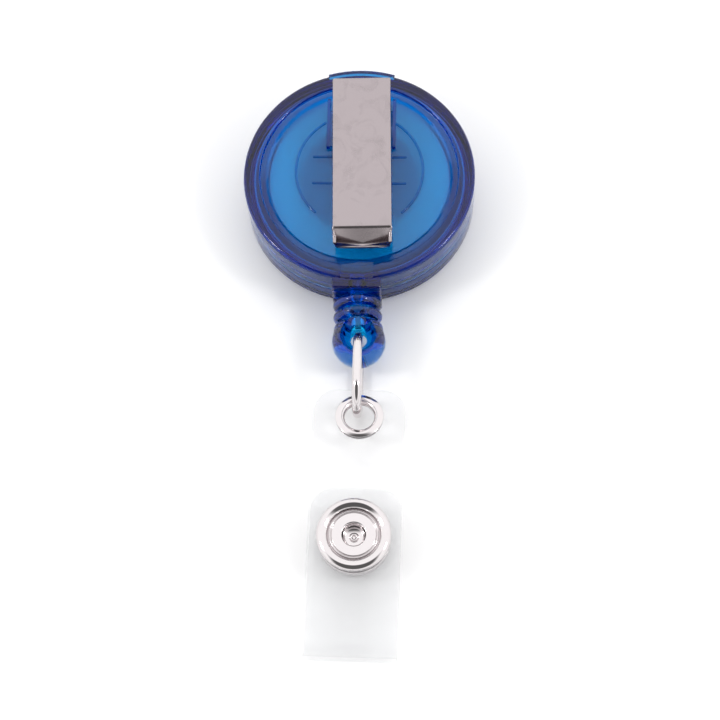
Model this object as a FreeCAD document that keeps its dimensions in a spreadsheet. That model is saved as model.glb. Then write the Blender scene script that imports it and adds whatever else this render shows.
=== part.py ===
"""Retractable badge reel: a 32 mm two-shell case with a sprung spool, a steel belt clip, a ball-ended
cord fitting, an oval wire ring and a snap-closed clear vinyl strap.

Millimetres. The origin is on the reel's axis, in the front face that the reel rests on. +Z is the
reel's axis, towards the belt clip, and the cord pulls out along -Y.
"""
import FreeCAD, Part
import math
import os

import Sketcher

Vector = FreeCAD.Vector
Rotation = FreeCAD.Rotation

# ---------------------------------------------------------------- driving dimensions
DIMENSIONS = (
    # case
    ("case_radius", 16.0),
    ("case_thickness", 8.45),
    ("case_wall", 1.4),
    ("front_floor", 1.2),
    ("front_edge", 0.8),  # chamfer round the front face
    ("seam_height", 4.2),  # where the two shells meet, and the height of the cord
    ("lip_thickness", 0.65),  # the front shell's lip inside the back shell
    ("lip_height", 0.8),
    ("groove_radius", 13.2),  # a shallow ring groove round the plain front face
    ("groove_width", 0.6),
    ("groove_depth", 0.3),
    ("rim_width", 2.3),
    ("rim_edge", 0.3),
    ("ledge_width", 0.7),
    ("ledge_drop", 0.45),
    ("ledge_slope", 0.42),  # from the ledge's edge in to the back plate
    ("plate_drop", 0.85),  # from the rim down to the back plate
    ("plate_thickness", 0.8),
    # raised marks on the back plate
    ("mark_height", 0.2),
    ("mark_width", 0.36),
    ("mark_centre", 0.95),
    ("bar_length", 12.7),
    ("bar_spacing", 4.05),
    ("arc_radius", 8.8),
    ("arc_start", 124.0),
    ("arc_sweep", 103.0),
    # centre post and its socket
    ("post_radius", 1.9),
    ("post_slot", 0.5),
    ("socket_radius", 3.0),
    ("socket_height", 1.2),
    ("press_clearance", 0.02),
    ("running_clearance", 0.06),
    # cord outlet
    ("outlet_width", 6.7),
    ("outlet_length", 1.1),  # past the case's round
    ("outlet_bottom", 0.9),
    ("outlet_drop", 0.15),  # below the rim
    ("outlet_bore", 1.3),
    ("notch_width", 4.5),
    ("notch_depth", 0.5),
    ("notch_length", 2.6),
    # clip pocket on the back plate
    ("pocket_play", 0.85),  # beside the clip's tongue
    ("pocket_shift", 0.15),
    ("pocket_wall", 0.45),
    ("pocket_inset", 0.88),  # from the plate's edge to the rails' ends
    ("pocket_length", 7.5),
    ("pocket_overhang", 0.6),
    ("pocket_lip", 0.3),
    ("pocket_lip_inset", 1.9),
    ("bump_width", 9.3),
    ("bump_reach", 0.35),
    ("bump_height", 2.0),
    # spool
    ("spool_room", 2.1),  # between the spool and the case's wall
    ("spool_gap", 0.55),  # above the front floor
    ("spool_play", 0.15),  # below the back plate
    ("flange_thickness", 0.6),
    ("winding_margin", 1.47),  # from the full winding out to the flanges' edge
    ("drum_wall", 0.8),
    # cord and spring
    ("cord_diameter", 0.7),
    ("cord_wound", 878.0),  # length of cord on the drum
    ("cord_bend", 3.5),
    ("cord_inset", 0.8),  # from the case's round in to where the cord runs straight
    ("strip_thickness", 0.12),
    ("strip_room", 0.67),  # below the spool's upper edge
    ("strip_start", 0.4),  # from the post to the first turn
    ("strip_margin", 1.42),  # from the last turn to the drum
    ("strip_turns", 12.0),
    ("strip_tongue", 1.5),  # the strip's straight end, past the post's axis
    ("anchor_knot", 0.6),
    # belt clip
    ("clip_thickness", 0.4),
    ("clip_width", 8.0),
    ("clip_tongue", 7.0),
    ("clip_rise", 4.63),  # overall height of the bent strip
    ("clip_overhang", 0.4),  # past the plate's edge
    ("clip_corner", 0.7),  # outside radius of the strip's upper bend
    ("clip_heel", 1.9),  # outside radius of its lower bend
    ("clip_back", 0.65),  # the strip's wall leans back by this much on its way down
    ("clip_tongue_end", 3.5),
    ("clip_crease", -9.75),
    ("clip_lip", -11.3),
    ("clip_lip_drop", 2.2),
    ("clip_tip", -11.95),
    ("clip_lift", 0.02),
    ("clip_turn", 1.5),
    ("clip_shift", 0.5),
    # end fitting
    ("fitting_gap", 0.05),  # between the outlet and the fitting at rest
    ("fitting_lean", 3.35),
    ("neck_radius", 2.5),
    ("rib_radius", 0.78),
    ("rib_centre", 2.55),
    ("rib_first", 0.85),
    ("rib_pitch", 1.75),
    ("ball_radius", 3.65),
    ("ball_distance", 6.15),
    ("ball_hole", 1.1),
    ("ball_mouth", 2.6),
    ("ball_waist", 0.6),
    ("ball_mouth_height", 2.95),
    ("cord_passage", 0.6),
    ("knot_room", 1.3),
    ("knot_room_start", 1.25),
    ("knot_radius", 1.1),
    ("knot_length", 0.99),  # half of it, along the cord
    ("knot_height", 1.045),  # half of it, across the cord
    ("knot_tail", 1.54),  # cord left beyond the knot's middle
    # ring
    ("ring_wire", 1.25),
    ("ring_length", 11.9),
    ("ring_width", 8.6),
    ("ring_rest", 0.1),  # above the table
    ("ring_seat", 0.42),  # from the ball's middle back to the wire through it
    # strap
    ("strap_width", 12.3),
    ("strap_thickness", 0.5),
    ("strap_corner", 3.0),
    ("eyelet_seat", 0.23),  # from the ring's wire out to the eyelet's middle
    ("strap_shift", 0.65),
    ("strap_lean", -1.0),
    ("strap_margin", 4.0),
    ("strap_top_height", 2.4),
    ("strap_bend", 5.6),
    ("fold_distance", 31.2),
    ("tail_level", 0.7),
    ("tail_end", 9.4),
    ("snap_distance", 16.95),
    # eyelet
    ("eyelet_bore", 2.0),
    ("eyelet_wall", 0.25),
    ("eyelet_flange", 3.25),
    ("eyelet_play", 0.15),
    # snap fastener
    ("cap_bead", 0.75),
    ("cap_bead_centre", 4.2),
    ("cap_floor", 0.35),
    ("cap_disc", 3.0),
    ("cap_disc_height", 0.85),
    ("barrel_radius", 1.6),
    ("barrel_bore", 1.4),
    ("barrel_proud", 0.05),
    ("barrel_end", 0.2),
    ("barrel_play", 0.05),
    ("socket_outer", 4.9),
    ("socket_wall", 0.5),
    ("socket_depth", 1.7),
    ("socket_sheet", 0.35),
    ("socket_play", 0.3),  # round the stud's head
    ("snap_gap", 0.85),  # between the socket and the stud's flange when closed
    ("snap_wire", 0.25),
    ("snap_wire_gap", 0.8),
    ("stud_flange", 3.6),
    ("stud_sheet", 0.3),
    ("stud_undercut", 0.35),
    ("stud_head", 1.9),
    ("stud_neck_rise", 0.2),  # how far the neck goes up into the socket
    ("stud_entry", 1.05),  # how far the stud goes up into the socket
    ("post_flange", 4.4),
    ("post_sheet", 0.35),
    ("post_barrel", 0.95),
    ("post_short", 0.4),  # below the stud's top
)

doc = FreeCAD.newDocument("badge_reel")
size = doc.addObject("Spreadsheet::Sheet", "size")
for row, (alias, value) in enumerate(DIMENSIONS, 1):
    size.set(f"A{row}", str(value))
    size.setAlias(f"A{row}", alias)
doc.recompute()

# ---------------------------------------------------------------- sizes that follow from them
CASE_INNER = "(size.case_radius - size.case_wall)"
LIP_RADIUS = "(size.case_radius - size.case_wall + size.lip_thickness)"
PLATE_TOP = "(size.case_thickness - size.plate_drop)"
PLATE_UNDER = "(size.case_thickness - size.plate_drop - size.plate_thickness)"
SOCKET_TOP = "(size.front_floor + size.socket_height)"
SPOOL_LOW = "(size.front_floor + size.spool_gap)"
SPOOL_HIGH = f"({PLATE_UNDER} - size.spool_play)"
WINDING_LOW = f"({SPOOL_LOW} + size.flange_thickness)"
WINDING_HIGH = f"({SPOOL_HIGH} - size.flange_thickness)"
WINDING_MIDDLE = f"(({WINDING_LOW} + {WINDING_HIGH}) / 2)"
SPOOL_RADIUS = f"({CASE_INNER} - size.spool_room)"
WINDING_RADIUS = f"({SPOOL_RADIUS} - size.winding_margin)"
# the drum leaves room for the cord's whole length, lying square-packed on it
DRUM_RADIUS = (f"sqrt({WINDING_RADIUS} ^ 2 - size.cord_wound * size.cord_diameter ^ 2"
               f" / (pi * ({WINDING_HIGH} - {WINDING_LOW})))")
DRUM_INNER = f"({DRUM_RADIUS} - size.drum_wall)"
STRIP_INNER = "(size.post_radius + size.strip_start)"
STRIP_LOW = f"({SOCKET_TOP} + size.running_clearance)"
PLATE_RADIUS = "(size.case_radius - size.rim_width - size.ledge_width - size.ledge_slope)"
OUTLET_REACH = "(size.case_radius + size.outlet_length)"
FITTING_START = f"({OUTLET_REACH} + size.fitting_gap)"
CLIP_UNDER = f"({PLATE_TOP} + size.clip_lift)"
CLIP_TOP = f"({CLIP_UNDER} + size.clip_rise)"
CLIP_END = f"({PLATE_RADIUS} + size.clip_overhang)"
CORNER_Y = f"({CLIP_END} - size.clip_corner)"
CORNER_Z = f"({CLIP_TOP} - size.clip_corner)"
HEEL_END = f"({CLIP_END} - size.clip_back)"
HEEL_Y = f"({HEEL_END} - size.clip_heel)"
HEEL_Z = f"({CLIP_UNDER} + size.clip_heel)"
RING_HEIGHT = "(size.ring_rest + size.ring_width / 2)"
RING_MIDDLE = (f"({FITTING_START} + size.ball_distance * cos(size.fitting_lean) - size.ring_seat"
               " + (size.ring_length - size.ring_wire) / 2)")
EYELET_DISTANCE = f"({RING_MIDDLE} + (size.ring_length - size.ring_wire) / 2 + size.eyelet_seat)"
STUD_HEIGHT = "(size.stud_sheet + size.snap_gap + size.stud_entry)"
STUD_NECK = "(size.stud_head - size.stud_undercut)"
STUD_HEAD_LOW = "(size.stud_sheet + size.snap_gap + size.stud_neck_rise)"
# the two layers of strap lie as far apart as the closed snap holds them
STRAP_LEVEL = ("(size.tail_level + size.strap_thickness + size.stud_sheet + size.snap_gap"
               " + size.socket_depth)")
FOLD_RADIUS = f"(({STRAP_LEVEL} - size.tail_level) / 2)"
STRAP_TILT = f"atan(({STRAP_LEVEL} - size.strap_top_height) / (size.strap_margin + size.strap_bend))"
EYELET_HEIGHT = f"(size.strap_top_height + size.strap_margin * tan({STRAP_TILT}))"
STRAP_FACE = f"({STRAP_LEVEL} + size.strap_thickness / 2)"
STRAP_BACK = f"({STRAP_LEVEL} - size.strap_thickness / 2)"
TAIL_FACE = "(size.tail_level + size.strap_thickness / 2)"
TAIL_BACK = "(size.tail_level - size.strap_thickness / 2)"

PAST = "1"  # how far a cutting tool runs past the face that it cuts

ALONG = {
    "X": Rotation(Vector(0, 1, 0), 90),
    "Y": Rotation(Vector(1, 0, 0), -90),
    "Z": Rotation(),
}
pieces = []


# ---------------------------------------------------------------- small helpers
def put(obj, x="0", y="0", z="0", rotation=None):
    """Places an object at three expressions, turned by a fixed rotation if one is given."""
    if rotation is not None:
        obj.Placement = FreeCAD.Placement(Vector(), rotation)
    for letter, expression in zip("xyz", (x, y, z)):
        obj.setExpression(f"Placement.Base.{letter}", expression)
    return obj


def tie(obj, **expressions):
    """Binds properties of an object to expressions over the size sheet."""
    for name, expression in expressions.items():
        obj.setExpression(name, expression)
    return obj


def block(name, x, y, z):
    """A box between three pairs of expressions."""
    obj = doc.addObject("Part::Box", name)
    for side, (low, high) in zip(("Length", "Width", "Height"), (x, y, z)):
        obj.setExpression(side, f"({high}) - ({low})")
    return put(obj, x[0], y[0], z[0])


def rod(name, radius, start, end, along="Z", across=("0", "0")):
    """A cylinder between two expressions along one axis. across is its place on the other two axes."""
    obj = doc.addObject("Part::Cylinder", name)
    tie(obj, Radius=radius, Height=f"({end}) - ({start})")
    place = list(across)
    place.insert("XYZ".index(along), start)
    return put(obj, *place, rotation=ALONG[along])


def funnel(name, start_radius, end_radius, start, end, across=("0", "0")):
    """A cone along Z between two expressions."""
    obj = doc.addObject("Part::Cone", name)
    tie(obj, Radius1=start_radius, Radius2=end_radius, Height=f"({end}) - ({start})")
    return put(obj, *across, start)


def torus(name, centre_radius, wire_radius, place=("0", "0", "0"), rotation=None):
    """A torus round the Z axis, or round another once it is turned."""
    obj = doc.addObject("Part::Torus", name)
    tie(obj, Radius1=centre_radius, Radius2=wire_radius)
    return put(obj, *place, rotation=rotation)


def join(name, *shapes):
    obj = doc.addObject("Part::MultiFuse", name)
    obj.Shapes = list(shapes)
    return obj


def cut(name, base, *tools):
    obj = doc.addObject("Part::Cut", name)
    obj.Base = base
    obj.Tool = tools[0] if len(tools) == 1 else join(f"{name}_tools", *tools)
    return obj


def overlap(name, first, second):
    obj = doc.addObject("Part::Common", name)
    obj.Base = first
    obj.Tool = second
    return obj


def outline(body, role, points):
    """A closed sketch of straight lines on one of the body's origin planes, each corner held by two
    distances that are bound to expressions."""
    sketch = body.newObject("Sketcher::SketchObject", f"{body.Name}_outline")
    plane = [feature for feature in body.Origin.OriginFeatures if feature.Role == role][0]
    sketch.AttachmentSupport = (plane, [""])
    sketch.MapMode = "FlatFace"
    count = len(points)
    for index in range(count):
        turn = 2 * math.pi / count
        start = Vector(math.cos(index * turn), math.sin(index * turn), 0)
        end = Vector(math.cos((index + 1) * turn), math.sin((index + 1) * turn), 0)
        sketch.addGeometry(Part.LineSegment(start, end))
    for index in range(count):
        sketch.addConstraint(Sketcher.Constraint("Coincident", index, 2, (index + 1) % count, 1))
    for index, (across, up) in enumerate(points):
        for kind, expression in (("DistanceX", across), ("DistanceY", up)):
            number = sketch.addConstraint(Sketcher.Constraint(kind, -1, 1, index, 1, 1.0))
            sketch.setExpression(f"Constraints[{number}]", expression)
    return sketch


def turned(name, points):
    """A body turned round the Z axis from a closed outline of (radius, height) expressions."""
    body = doc.addObject("PartDesign::Body", name)
    sketch = outline(body, "XZ_Plane", points)
    doc.recompute()
    revolution = body.newObject("PartDesign::Revolution", f"{name}_turning")
    revolution.Profile = sketch
    revolution.ReferenceAxis = (sketch, ["V_Axis"])
    revolution.Angle = 360
    return body


def bent(name, points, width):
    """A body of constant width along X from a closed outline of (y, z) expressions."""
    body = doc.addObject("PartDesign::Body", name)
    sketch = outline(body, "YZ_Plane", points)
    doc.recompute()
    pad = body.newObject("PartDesign::Pad", f"{name}_pad")
    pad.Profile = sketch
    pad.SideType = "Symmetric"
    pad.setExpression("Length", width)
    return body


def piece(obj, label):
    """Names a finished sub-part."""
    obj.Label = label
    pieces.append(obj)
    return obj


def on_strap(obj, label):
    """Lays a piece that was drawn in the strap's own frame, whose origin is under the eyelet."""
    obj.Placement = FreeCAD.Placement(Vector(), Rotation(Vector(0, 0, 1), 1))
    put(obj, "size.strap_shift", f"-{EYELET_DISTANCE}")
    obj.setExpression("Placement.Rotation.Angle", "size.strap_lean")
    return piece(obj, label)


def on_fitting(obj, label):
    """Lays a piece that was drawn in the end fitting's frame, whose origin is its neck's end."""
    obj.Placement = FreeCAD.Placement(Vector(), Rotation(Vector(0, 0, 1), 1))
    put(obj, "0", f"-{FITTING_START}", "size.seam_height")
    obj.setExpression("Placement.Rotation.Angle", "size.fitting_lean")
    return piece(obj, label)


def on_clip(obj, label):
    """Lays a part of the belt clip, which sits a little turned in its pocket."""
    obj.Placement = FreeCAD.Placement(Vector(), Rotation(Vector(0, 0, 1), 1))
    put(obj, "size.clip_shift")
    obj.setExpression("Placement.Rotation.Angle", "size.clip_turn")
    return piece(obj, label)


# ---------------------------------------------------------------- front shell
def outlet_block(name, low, high):
    """One shell's half of the square boss that the cord comes out of."""
    half = "size.outlet_width / 2"
    root = f"-({CASE_INNER} + size.case_wall / 2)"
    return block(name, (f"-{half}", half), (f"-{OUTLET_REACH}", root), (low, high))


def outlet_bore(name):
    return rod(name, "size.outlet_bore", f"-{OUTLET_REACH} - {PAST}", f"-{CASE_INNER} + {PAST}", "Y",
               ("0", "size.seam_height"))


front_cup = turned("front_cup", [
    ("0", "0"),
    ("size.groove_radius", "0"),
    ("size.groove_radius", "size.groove_depth"),
    ("size.groove_radius + size.groove_width", "size.groove_depth"),
    ("size.groove_radius + size.groove_width", "0"),
    ("size.case_radius - size.front_edge", "0"),
    ("size.case_radius", "size.front_edge"),
    ("size.case_radius", "size.seam_height"),
    (LIP_RADIUS, "size.seam_height"),
    (LIP_RADIUS, "size.seam_height + size.lip_height"),
    (CASE_INNER, "size.seam_height + size.lip_height"),
    (CASE_INNER, "size.front_floor"),
    ("size.socket_radius", "size.front_floor"),
    ("size.socket_radius", SOCKET_TOP),
    ("size.post_radius + size.press_clearance", SOCKET_TOP),
    ("size.post_radius + size.press_clearance", "size.front_floor"),
    ("0", "size.front_floor"),
])
front_with_outlet = join(
    "front_with_outlet", front_cup, outlet_block("front_outlet", "size.outlet_bottom", "size.seam_height"))
piece(cut("front_shell_cut", front_with_outlet, outlet_bore("front_outlet_bore")), "front_shell")


# ---------------------------------------------------------------- back shell
def mark_arc(name, start):
    """A thin raised arc on the back plate, from a start angle through the sweep."""
    ring = doc.addObject("Part::Cylinder", f"{name}_outer")
    tie(ring, Radius="size.arc_radius + size.mark_width / 2", Height="size.mark_height * 2",
        Angle="size.arc_sweep")
    ring.Placement = FreeCAD.Placement(Vector(), Rotation(Vector(0, 0, 1), 1))
    put(ring, "0", "size.mark_centre", f"{PLATE_TOP} - size.mark_height")
    ring.setExpression("Placement.Rotation.Angle", start)
    core = rod(f"{name}_core", "size.arc_radius - size.mark_width / 2", f"{PLATE_TOP} - size.mark_height * 2",
               f"{PLATE_TOP} + size.mark_height * 2", "Z", ("0", "size.mark_centre"))
    return cut(name, ring, core)


def mark_bar(name, side):
    """A thin raised bar across the back plate."""
    middle = f"(size.mark_centre + {side} * size.bar_spacing / 2)"
    return block(
        name,
        ("-size.bar_length / 2", "size.bar_length / 2"),
        (f"{middle} - size.mark_width / 2", f"{middle} + size.mark_width / 2"),
        (f"{PLATE_TOP} - size.mark_height", f"{PLATE_TOP} + size.mark_height"),
    )


def pocket_rail(name, side):
    """One of the two rails that the clip's tongue slides under: a wall with a lip over the tongue."""
    half = "(size.clip_tongue / 2 + size.pocket_play)"
    inner = f"(size.pocket_shift + {side} * {half})"
    outer = f"(size.pocket_shift + {side} * ({half} + size.pocket_wall))"
    over = f"(size.pocket_shift + {side} * ({half} - size.pocket_overhang))"
    near, far = (outer, inner) if side < 0 else (inner, outer)
    low_over, high_over = (outer, over) if side < 0 else (over, outer)
    end = f"({PLATE_RADIUS} - size.pocket_inset)"
    start = f"({end} - size.pocket_length)"
    lip_low = f"{CLIP_UNDER} + size.clip_thickness + size.running_clearance"
    top = f"{lip_low} + size.pocket_lip"
    wall = block(f"{name}_wall", (near, far), (start, end), (f"{PLATE_TOP} - size.mark_height", top))
    lip = block(f"{name}_lip", (low_over, high_over), (start, f"{end} - size.pocket_lip_inset"),
                (lip_low, top))
    return join(name, wall, lip)


back_cup = turned("back_cup", [
    ("0", PLATE_TOP),
    ("0", "size.front_floor + size.press_clearance"),
    ("size.post_radius", "size.front_floor + size.press_clearance"),
    ("size.post_radius", PLATE_UNDER),
    (CASE_INNER, PLATE_UNDER),
    (CASE_INNER, "size.seam_height + size.lip_height + size.running_clearance"),
    (f"{LIP_RADIUS} + size.press_clearance", "size.seam_height + size.lip_height + size.running_clearance"),
    (f"{LIP_RADIUS} + size.press_clearance", "size.seam_height"),
    ("size.case_radius", "size.seam_height"),
    ("size.case_radius", "size.case_thickness - size.rim_edge"),
    ("size.case_radius - size.rim_edge", "size.case_thickness"),
    ("size.case_radius - size.rim_width", "size.case_thickness"),
    ("size.case_radius - size.rim_width", "size.case_thickness - size.ledge_drop"),
    ("size.case_radius - size.rim_width - size.ledge_width", "size.case_thickness - size.ledge_drop"),
    (PLATE_RADIUS, PLATE_TOP),
])
BUMP_LOW = "(size.case_thickness - size.bump_height)"
rim_bump = overlap(
    "rim_bump",
    block("rim_bump_block", ("-size.bump_width / 2", "size.bump_width / 2"),
          ("size.case_radius - size.case_wall", "size.case_radius + size.bump_reach"),
          (BUMP_LOW, "size.case_thickness")),
    rod("rim_bump_round", "size.case_radius + size.bump_reach", BUMP_LOW, "size.case_thickness"),
)
back_with_marks = join(
    "back_with_marks",
    back_cup,
    outlet_block("back_outlet", "size.seam_height", "size.case_thickness - size.outlet_drop"),
    rim_bump,
    pocket_rail("left_rail", -1),
    pocket_rail("right_rail", 1),
    mark_bar("upper_bar", 1),
    mark_bar("lower_bar", -1),
    mark_arc("left_arc", "size.arc_start"),
    mark_arc("right_arc", "180 - size.arc_start - size.arc_sweep"),
)
post_slot = block(
    "post_slot",
    (f"-size.post_radius - {PAST}", f"size.post_radius + {PAST}"),
    ("-size.post_slot / 2", "size.post_slot / 2"),
    (SOCKET_TOP, f"{PLATE_UNDER} - size.running_clearance"),
)
rim_notch = block(
    "rim_notch",
    ("-size.notch_width / 2", "size.notch_width / 2"),
    ("-size.case_radius + size.case_wall / 4", "-size.case_radius + size.case_wall / 4 + size.notch_length"),
    ("size.case_thickness - size.notch_depth", f"size.case_thickness + {PAST}"),
)
back_cut = cut("back_shell_cut", back_with_marks, outlet_bore("back_outlet_bore"), post_slot, rim_notch)
piece(back_cut, "back_shell")

# ---------------------------------------------------------------- spool
spool_turned = turned("spool_turned", [
    ("size.post_radius + size.running_clearance", SPOOL_HIGH),
    (SPOOL_RADIUS, SPOOL_HIGH),
    (SPOOL_RADIUS, WINDING_HIGH),
    (DRUM_RADIUS, WINDING_HIGH),
    (DRUM_RADIUS, WINDING_LOW),
    (SPOOL_RADIUS, WINDING_LOW),
    (SPOOL_RADIUS, SPOOL_LOW),
    (DRUM_INNER, SPOOL_LOW),
    (DRUM_INNER, WINDING_HIGH),
    ("size.post_radius + size.running_clearance", WINDING_HIGH),
])
spring_slot = block(
    "spring_slot",
    (f"{DRUM_INNER} - {PAST}", DRUM_RADIUS),
    ("-size.post_slot / 2", "size.post_slot / 2"),
    (STRIP_LOW, WINDING_HIGH),
)
anchor_hole = rod("anchor_hole", "size.cord_diameter / 2 + size.running_clearance",
                  f"-{DRUM_RADIUS} - {PAST}", f"-{DRUM_INNER} + {PAST}", "X", ("0", WINDING_MIDDLE))
piece(cut("spool_cut", spool_turned, spring_slot, anchor_hole), "spool")

# ---------------------------------------------------------------- cord: winding, anchor knot, lead, end knot
piece(turned("winding_turned", [
    (DRUM_RADIUS, WINDING_LOW),
    (WINDING_RADIUS, WINDING_LOW),
    (WINDING_RADIUS, WINDING_HIGH),
    (DRUM_RADIUS, WINDING_HIGH),
]), "cord_winding")

anchor_ball = doc.addObject("Part::Sphere", "anchor_ball")
tie(anchor_ball, Radius="size.anchor_knot")
put(anchor_ball, f"-{DRUM_INNER} + size.anchor_knot + size.running_clearance", "0", WINDING_MIDDLE)
anchor_stub = rod("anchor_stub", "size.cord_diameter / 2", f"-{DRUM_RADIUS} + size.press_clearance",
                  f"-{DRUM_INNER} + size.anchor_knot", "X", ("0", WINDING_MIDDLE))
piece(join("anchor_knot_joined", anchor_ball, anchor_stub), "cord_anchor_knot")


worked_out = doc.addObject("App::VarSet", "worked_out")
for name, expression in (
    ("leave_radius", f"{WINDING_RADIUS} + size.cord_diameter / 2 + size.press_clearance"),
    ("bend_end", "size.case_radius - size.cord_inset"),
    ("knot_start", f"{FITTING_START} + size.knot_room_start"),
    ("strip_inner", STRIP_INNER),
    ("strip_pitch", f"({DRUM_INNER} - size.strip_margin - {STRIP_INNER}) / size.strip_turns"),
    ("strip_low", f"{STRIP_LOW} + size.press_clearance"),
    ("strip_height", f"{SPOOL_HIGH} - size.strip_room - {STRIP_LOW} - size.press_clearance"),
    ("strip_end", f"{DRUM_RADIUS} - size.press_clearance"),
):
    worked_out.addProperty("App::PropertyFloat", name)
    worked_out.setExpression(name, expression)
doc.recompute()


def cord_lead_shape():
    """The cord's free stretch: a straight run that leaves the winding on its tangent, one arc that
    turns it to -Y, and a straight run out through the outlet to the knot in the end fitting."""
    leave_radius = worked_out.leave_radius
    bend = size.cord_bend
    bend_centre = Vector(bend, -worked_out.bend_end, 0)
    # the run touches the winding on one side and the bend on the other
    towards = math.atan2(bend_centre.y, bend_centre.x)
    side = towards + math.acos((leave_radius + bend) / bend_centre.Length)
    normal = Vector(math.cos(side), math.sin(side), 0)
    leave = normal * leave_radius
    enter = bend_centre - normal * bend
    straight = Vector(0, -worked_out.bend_end, 0)
    middle_angle = (side + math.pi + math.pi) / 2
    middle = bend_centre + Vector(math.cos(middle_angle), math.sin(middle_angle), 0) * bend
    end = Vector(0, -worked_out.knot_start, 0)
    height = Vector(0, 0, size.seam_height)
    path = Part.Wire([
        Part.LineSegment(leave + height, enter + height).toShape(),
        Part.Arc(enter + height, middle + height, straight + height).toShape(),
        Part.LineSegment(straight + height, end + height).toShape(),
    ])
    section = Part.Wire([Part.Circle(leave + height, enter - leave, size.cord_diameter / 2).toShape()])
    tube = path.makePipeShell([section], True, True)
    area = math.pi * size.cord_diameter ** 2 / 4
    print(f"cord lead: bend radius {bend:.2f}, length {path.Length:.2f}, volume {tube.Volume:.3f},",
          f"section times length {area * path.Length:.3f}")
    return tube


cord_lead = doc.addObject("Part::Feature", "cord_lead_tube")
cord_lead.Shape = cord_lead_shape()
piece(cord_lead, "cord_lead")

end_knot = doc.addObject("Part::Ellipsoid", "end_knot")
KNOT_MIDDLE = "(-size.knot_room_start - size.running_clearance - size.knot_length)"
tie(end_knot, Radius1="size.knot_length", Radius2="size.knot_radius", Radius3="size.knot_height")
put(end_knot, "0", KNOT_MIDDLE, "0", ALONG["Y"])
end_tail = rod("end_tail", "size.cord_diameter / 2", f"{KNOT_MIDDLE} - size.knot_tail", KNOT_MIDDLE, "Y")
on_fitting(join("cord_knot_joined", end_knot, end_tail), "cord_knot")


# ---------------------------------------------------------------- spiral spring
def spiral_side(inner, pitch, half_turns):
    """One side of a flat spiral as half circles whose radius grows by half the pitch each time."""
    edges = []
    for number in range(half_turns):
        radius = inner + pitch * (2 * number + 1) / 4
        side = 1 if number % 2 == 0 else -1
        start = Vector(side * (inner + number * pitch / 2), 0, 0)
        end = Vector(-side * (inner + (number + 1) * pitch / 2), 0, 0)
        middle = (start + end) / 2 + Vector(0, side * radius, 0)
        edges.append(Part.Arc(start, middle, end).toShape())
    return edges


def spiral_spring_shape():
    """A steel strip wound in a spiral, with a straight end in the post's slot and one in the drum's."""
    thickness = size.strip_thickness
    height = worked_out.strip_height
    half_turns = int(round(size.strip_turns * 2))
    inside = spiral_side(worked_out.strip_inner, worked_out.strip_pitch, half_turns)
    outside = spiral_side(worked_out.strip_inner + thickness, worked_out.strip_pitch, half_turns)
    first = worked_out.strip_inner
    last = first + half_turns * worked_out.strip_pitch / 2
    caps = [
        Part.LineSegment(Vector(first, 0, 0), Vector(first + thickness, 0, 0)).toShape(),
        Part.LineSegment(Vector(last, 0, 0), Vector(last + thickness, 0, 0)).toShape(),
    ]
    face = Part.Face(Part.Wire(Part.__sortEdges__(inside + outside + caps)))
    strip = face.extrude(Vector(0, 0, height))
    inner_end = Part.makeBox(first + thickness + size.strip_tongue, thickness, height,
                             Vector(-size.strip_tongue, -thickness, 0))
    outer_end = Part.makeBox(worked_out.strip_end - last, thickness, height, Vector(last, -thickness, 0))
    spring = strip.fuse([inner_end, outer_end]).removeSplitter()
    spring.translate(Vector(0, 0, worked_out.strip_low))
    return spring


spiral_spring = doc.addObject("Part::Feature", "spring_strip")
spiral_spring.Shape = spiral_spring_shape()
piece(spiral_spring, "spiral_spring")

# ---------------------------------------------------------------- belt clip
def strip_turn(name, radius, y, z, low, high):
    """A quarter turn of the strip round a line along X, on the far side of that line."""
    half = "size.clip_width / 2"
    outer = rod(f"{name}_outer", radius, f"-{half}", half, "X", (y, z))
    inner = rod(f"{name}_inner", f"{radius} - size.clip_thickness", f"-{half} - {PAST}",
                f"{half} + {PAST}", "X", (y, z))
    quarter = block(f"{name}_quarter", (f"-{half}", half), (y, f"{y} + {radius}"), (low, high))
    return overlap(name, cut(f"{name}_ring", outer, inner), quarter)


clip_heel = strip_turn("clip_heel_turn", "size.clip_heel", HEEL_Y, HEEL_Z, CLIP_UNDER, HEEL_Z)
clip_corner = strip_turn("clip_corner_turn", "size.clip_corner", CORNER_Y, CORNER_Z, CORNER_Z, CLIP_TOP)
clip_wall = bent("clip_wall", [
    (f"{HEEL_END} - size.clip_thickness", HEEL_Z),
    (HEEL_END, HEEL_Z),
    (CLIP_END, CORNER_Z),
    (f"{CLIP_END} - size.clip_thickness", CORNER_Z),
], "size.clip_width")
tongue = block(
    "clip_tongue_strip",
    ("-size.clip_tongue / 2", "size.clip_tongue / 2"),
    ("size.clip_tongue_end", HEEL_Y),
    (CLIP_UNDER, f"{CLIP_UNDER} + size.clip_thickness"),
)
on_clip(join("clip_base_joined", clip_heel, clip_wall, clip_corner, tongue), "belt_clip")

LEAF_UNDER = f"({CLIP_TOP} - size.clip_thickness)"
LIP_UNDER = f"({CLIP_TOP} - size.clip_lip_drop)"
LIP_TOP = f"({LIP_UNDER} + size.clip_thickness)"
leaf = bent("clip_leaf_bent", [
    (CORNER_Y, CLIP_TOP),
    ("size.clip_crease", CLIP_TOP),
    ("size.clip_lip", LIP_TOP),
    ("size.clip_tip", LIP_TOP),
    ("size.clip_tip", LIP_UNDER),
    ("size.clip_lip + size.clip_thickness / 2", LIP_UNDER),
    ("size.clip_crease + size.clip_thickness / 2", LEAF_UNDER),
    (CORNER_Y, LEAF_UNDER),
], "size.clip_width")
on_clip(leaf, "belt_clip_leaf")

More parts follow.
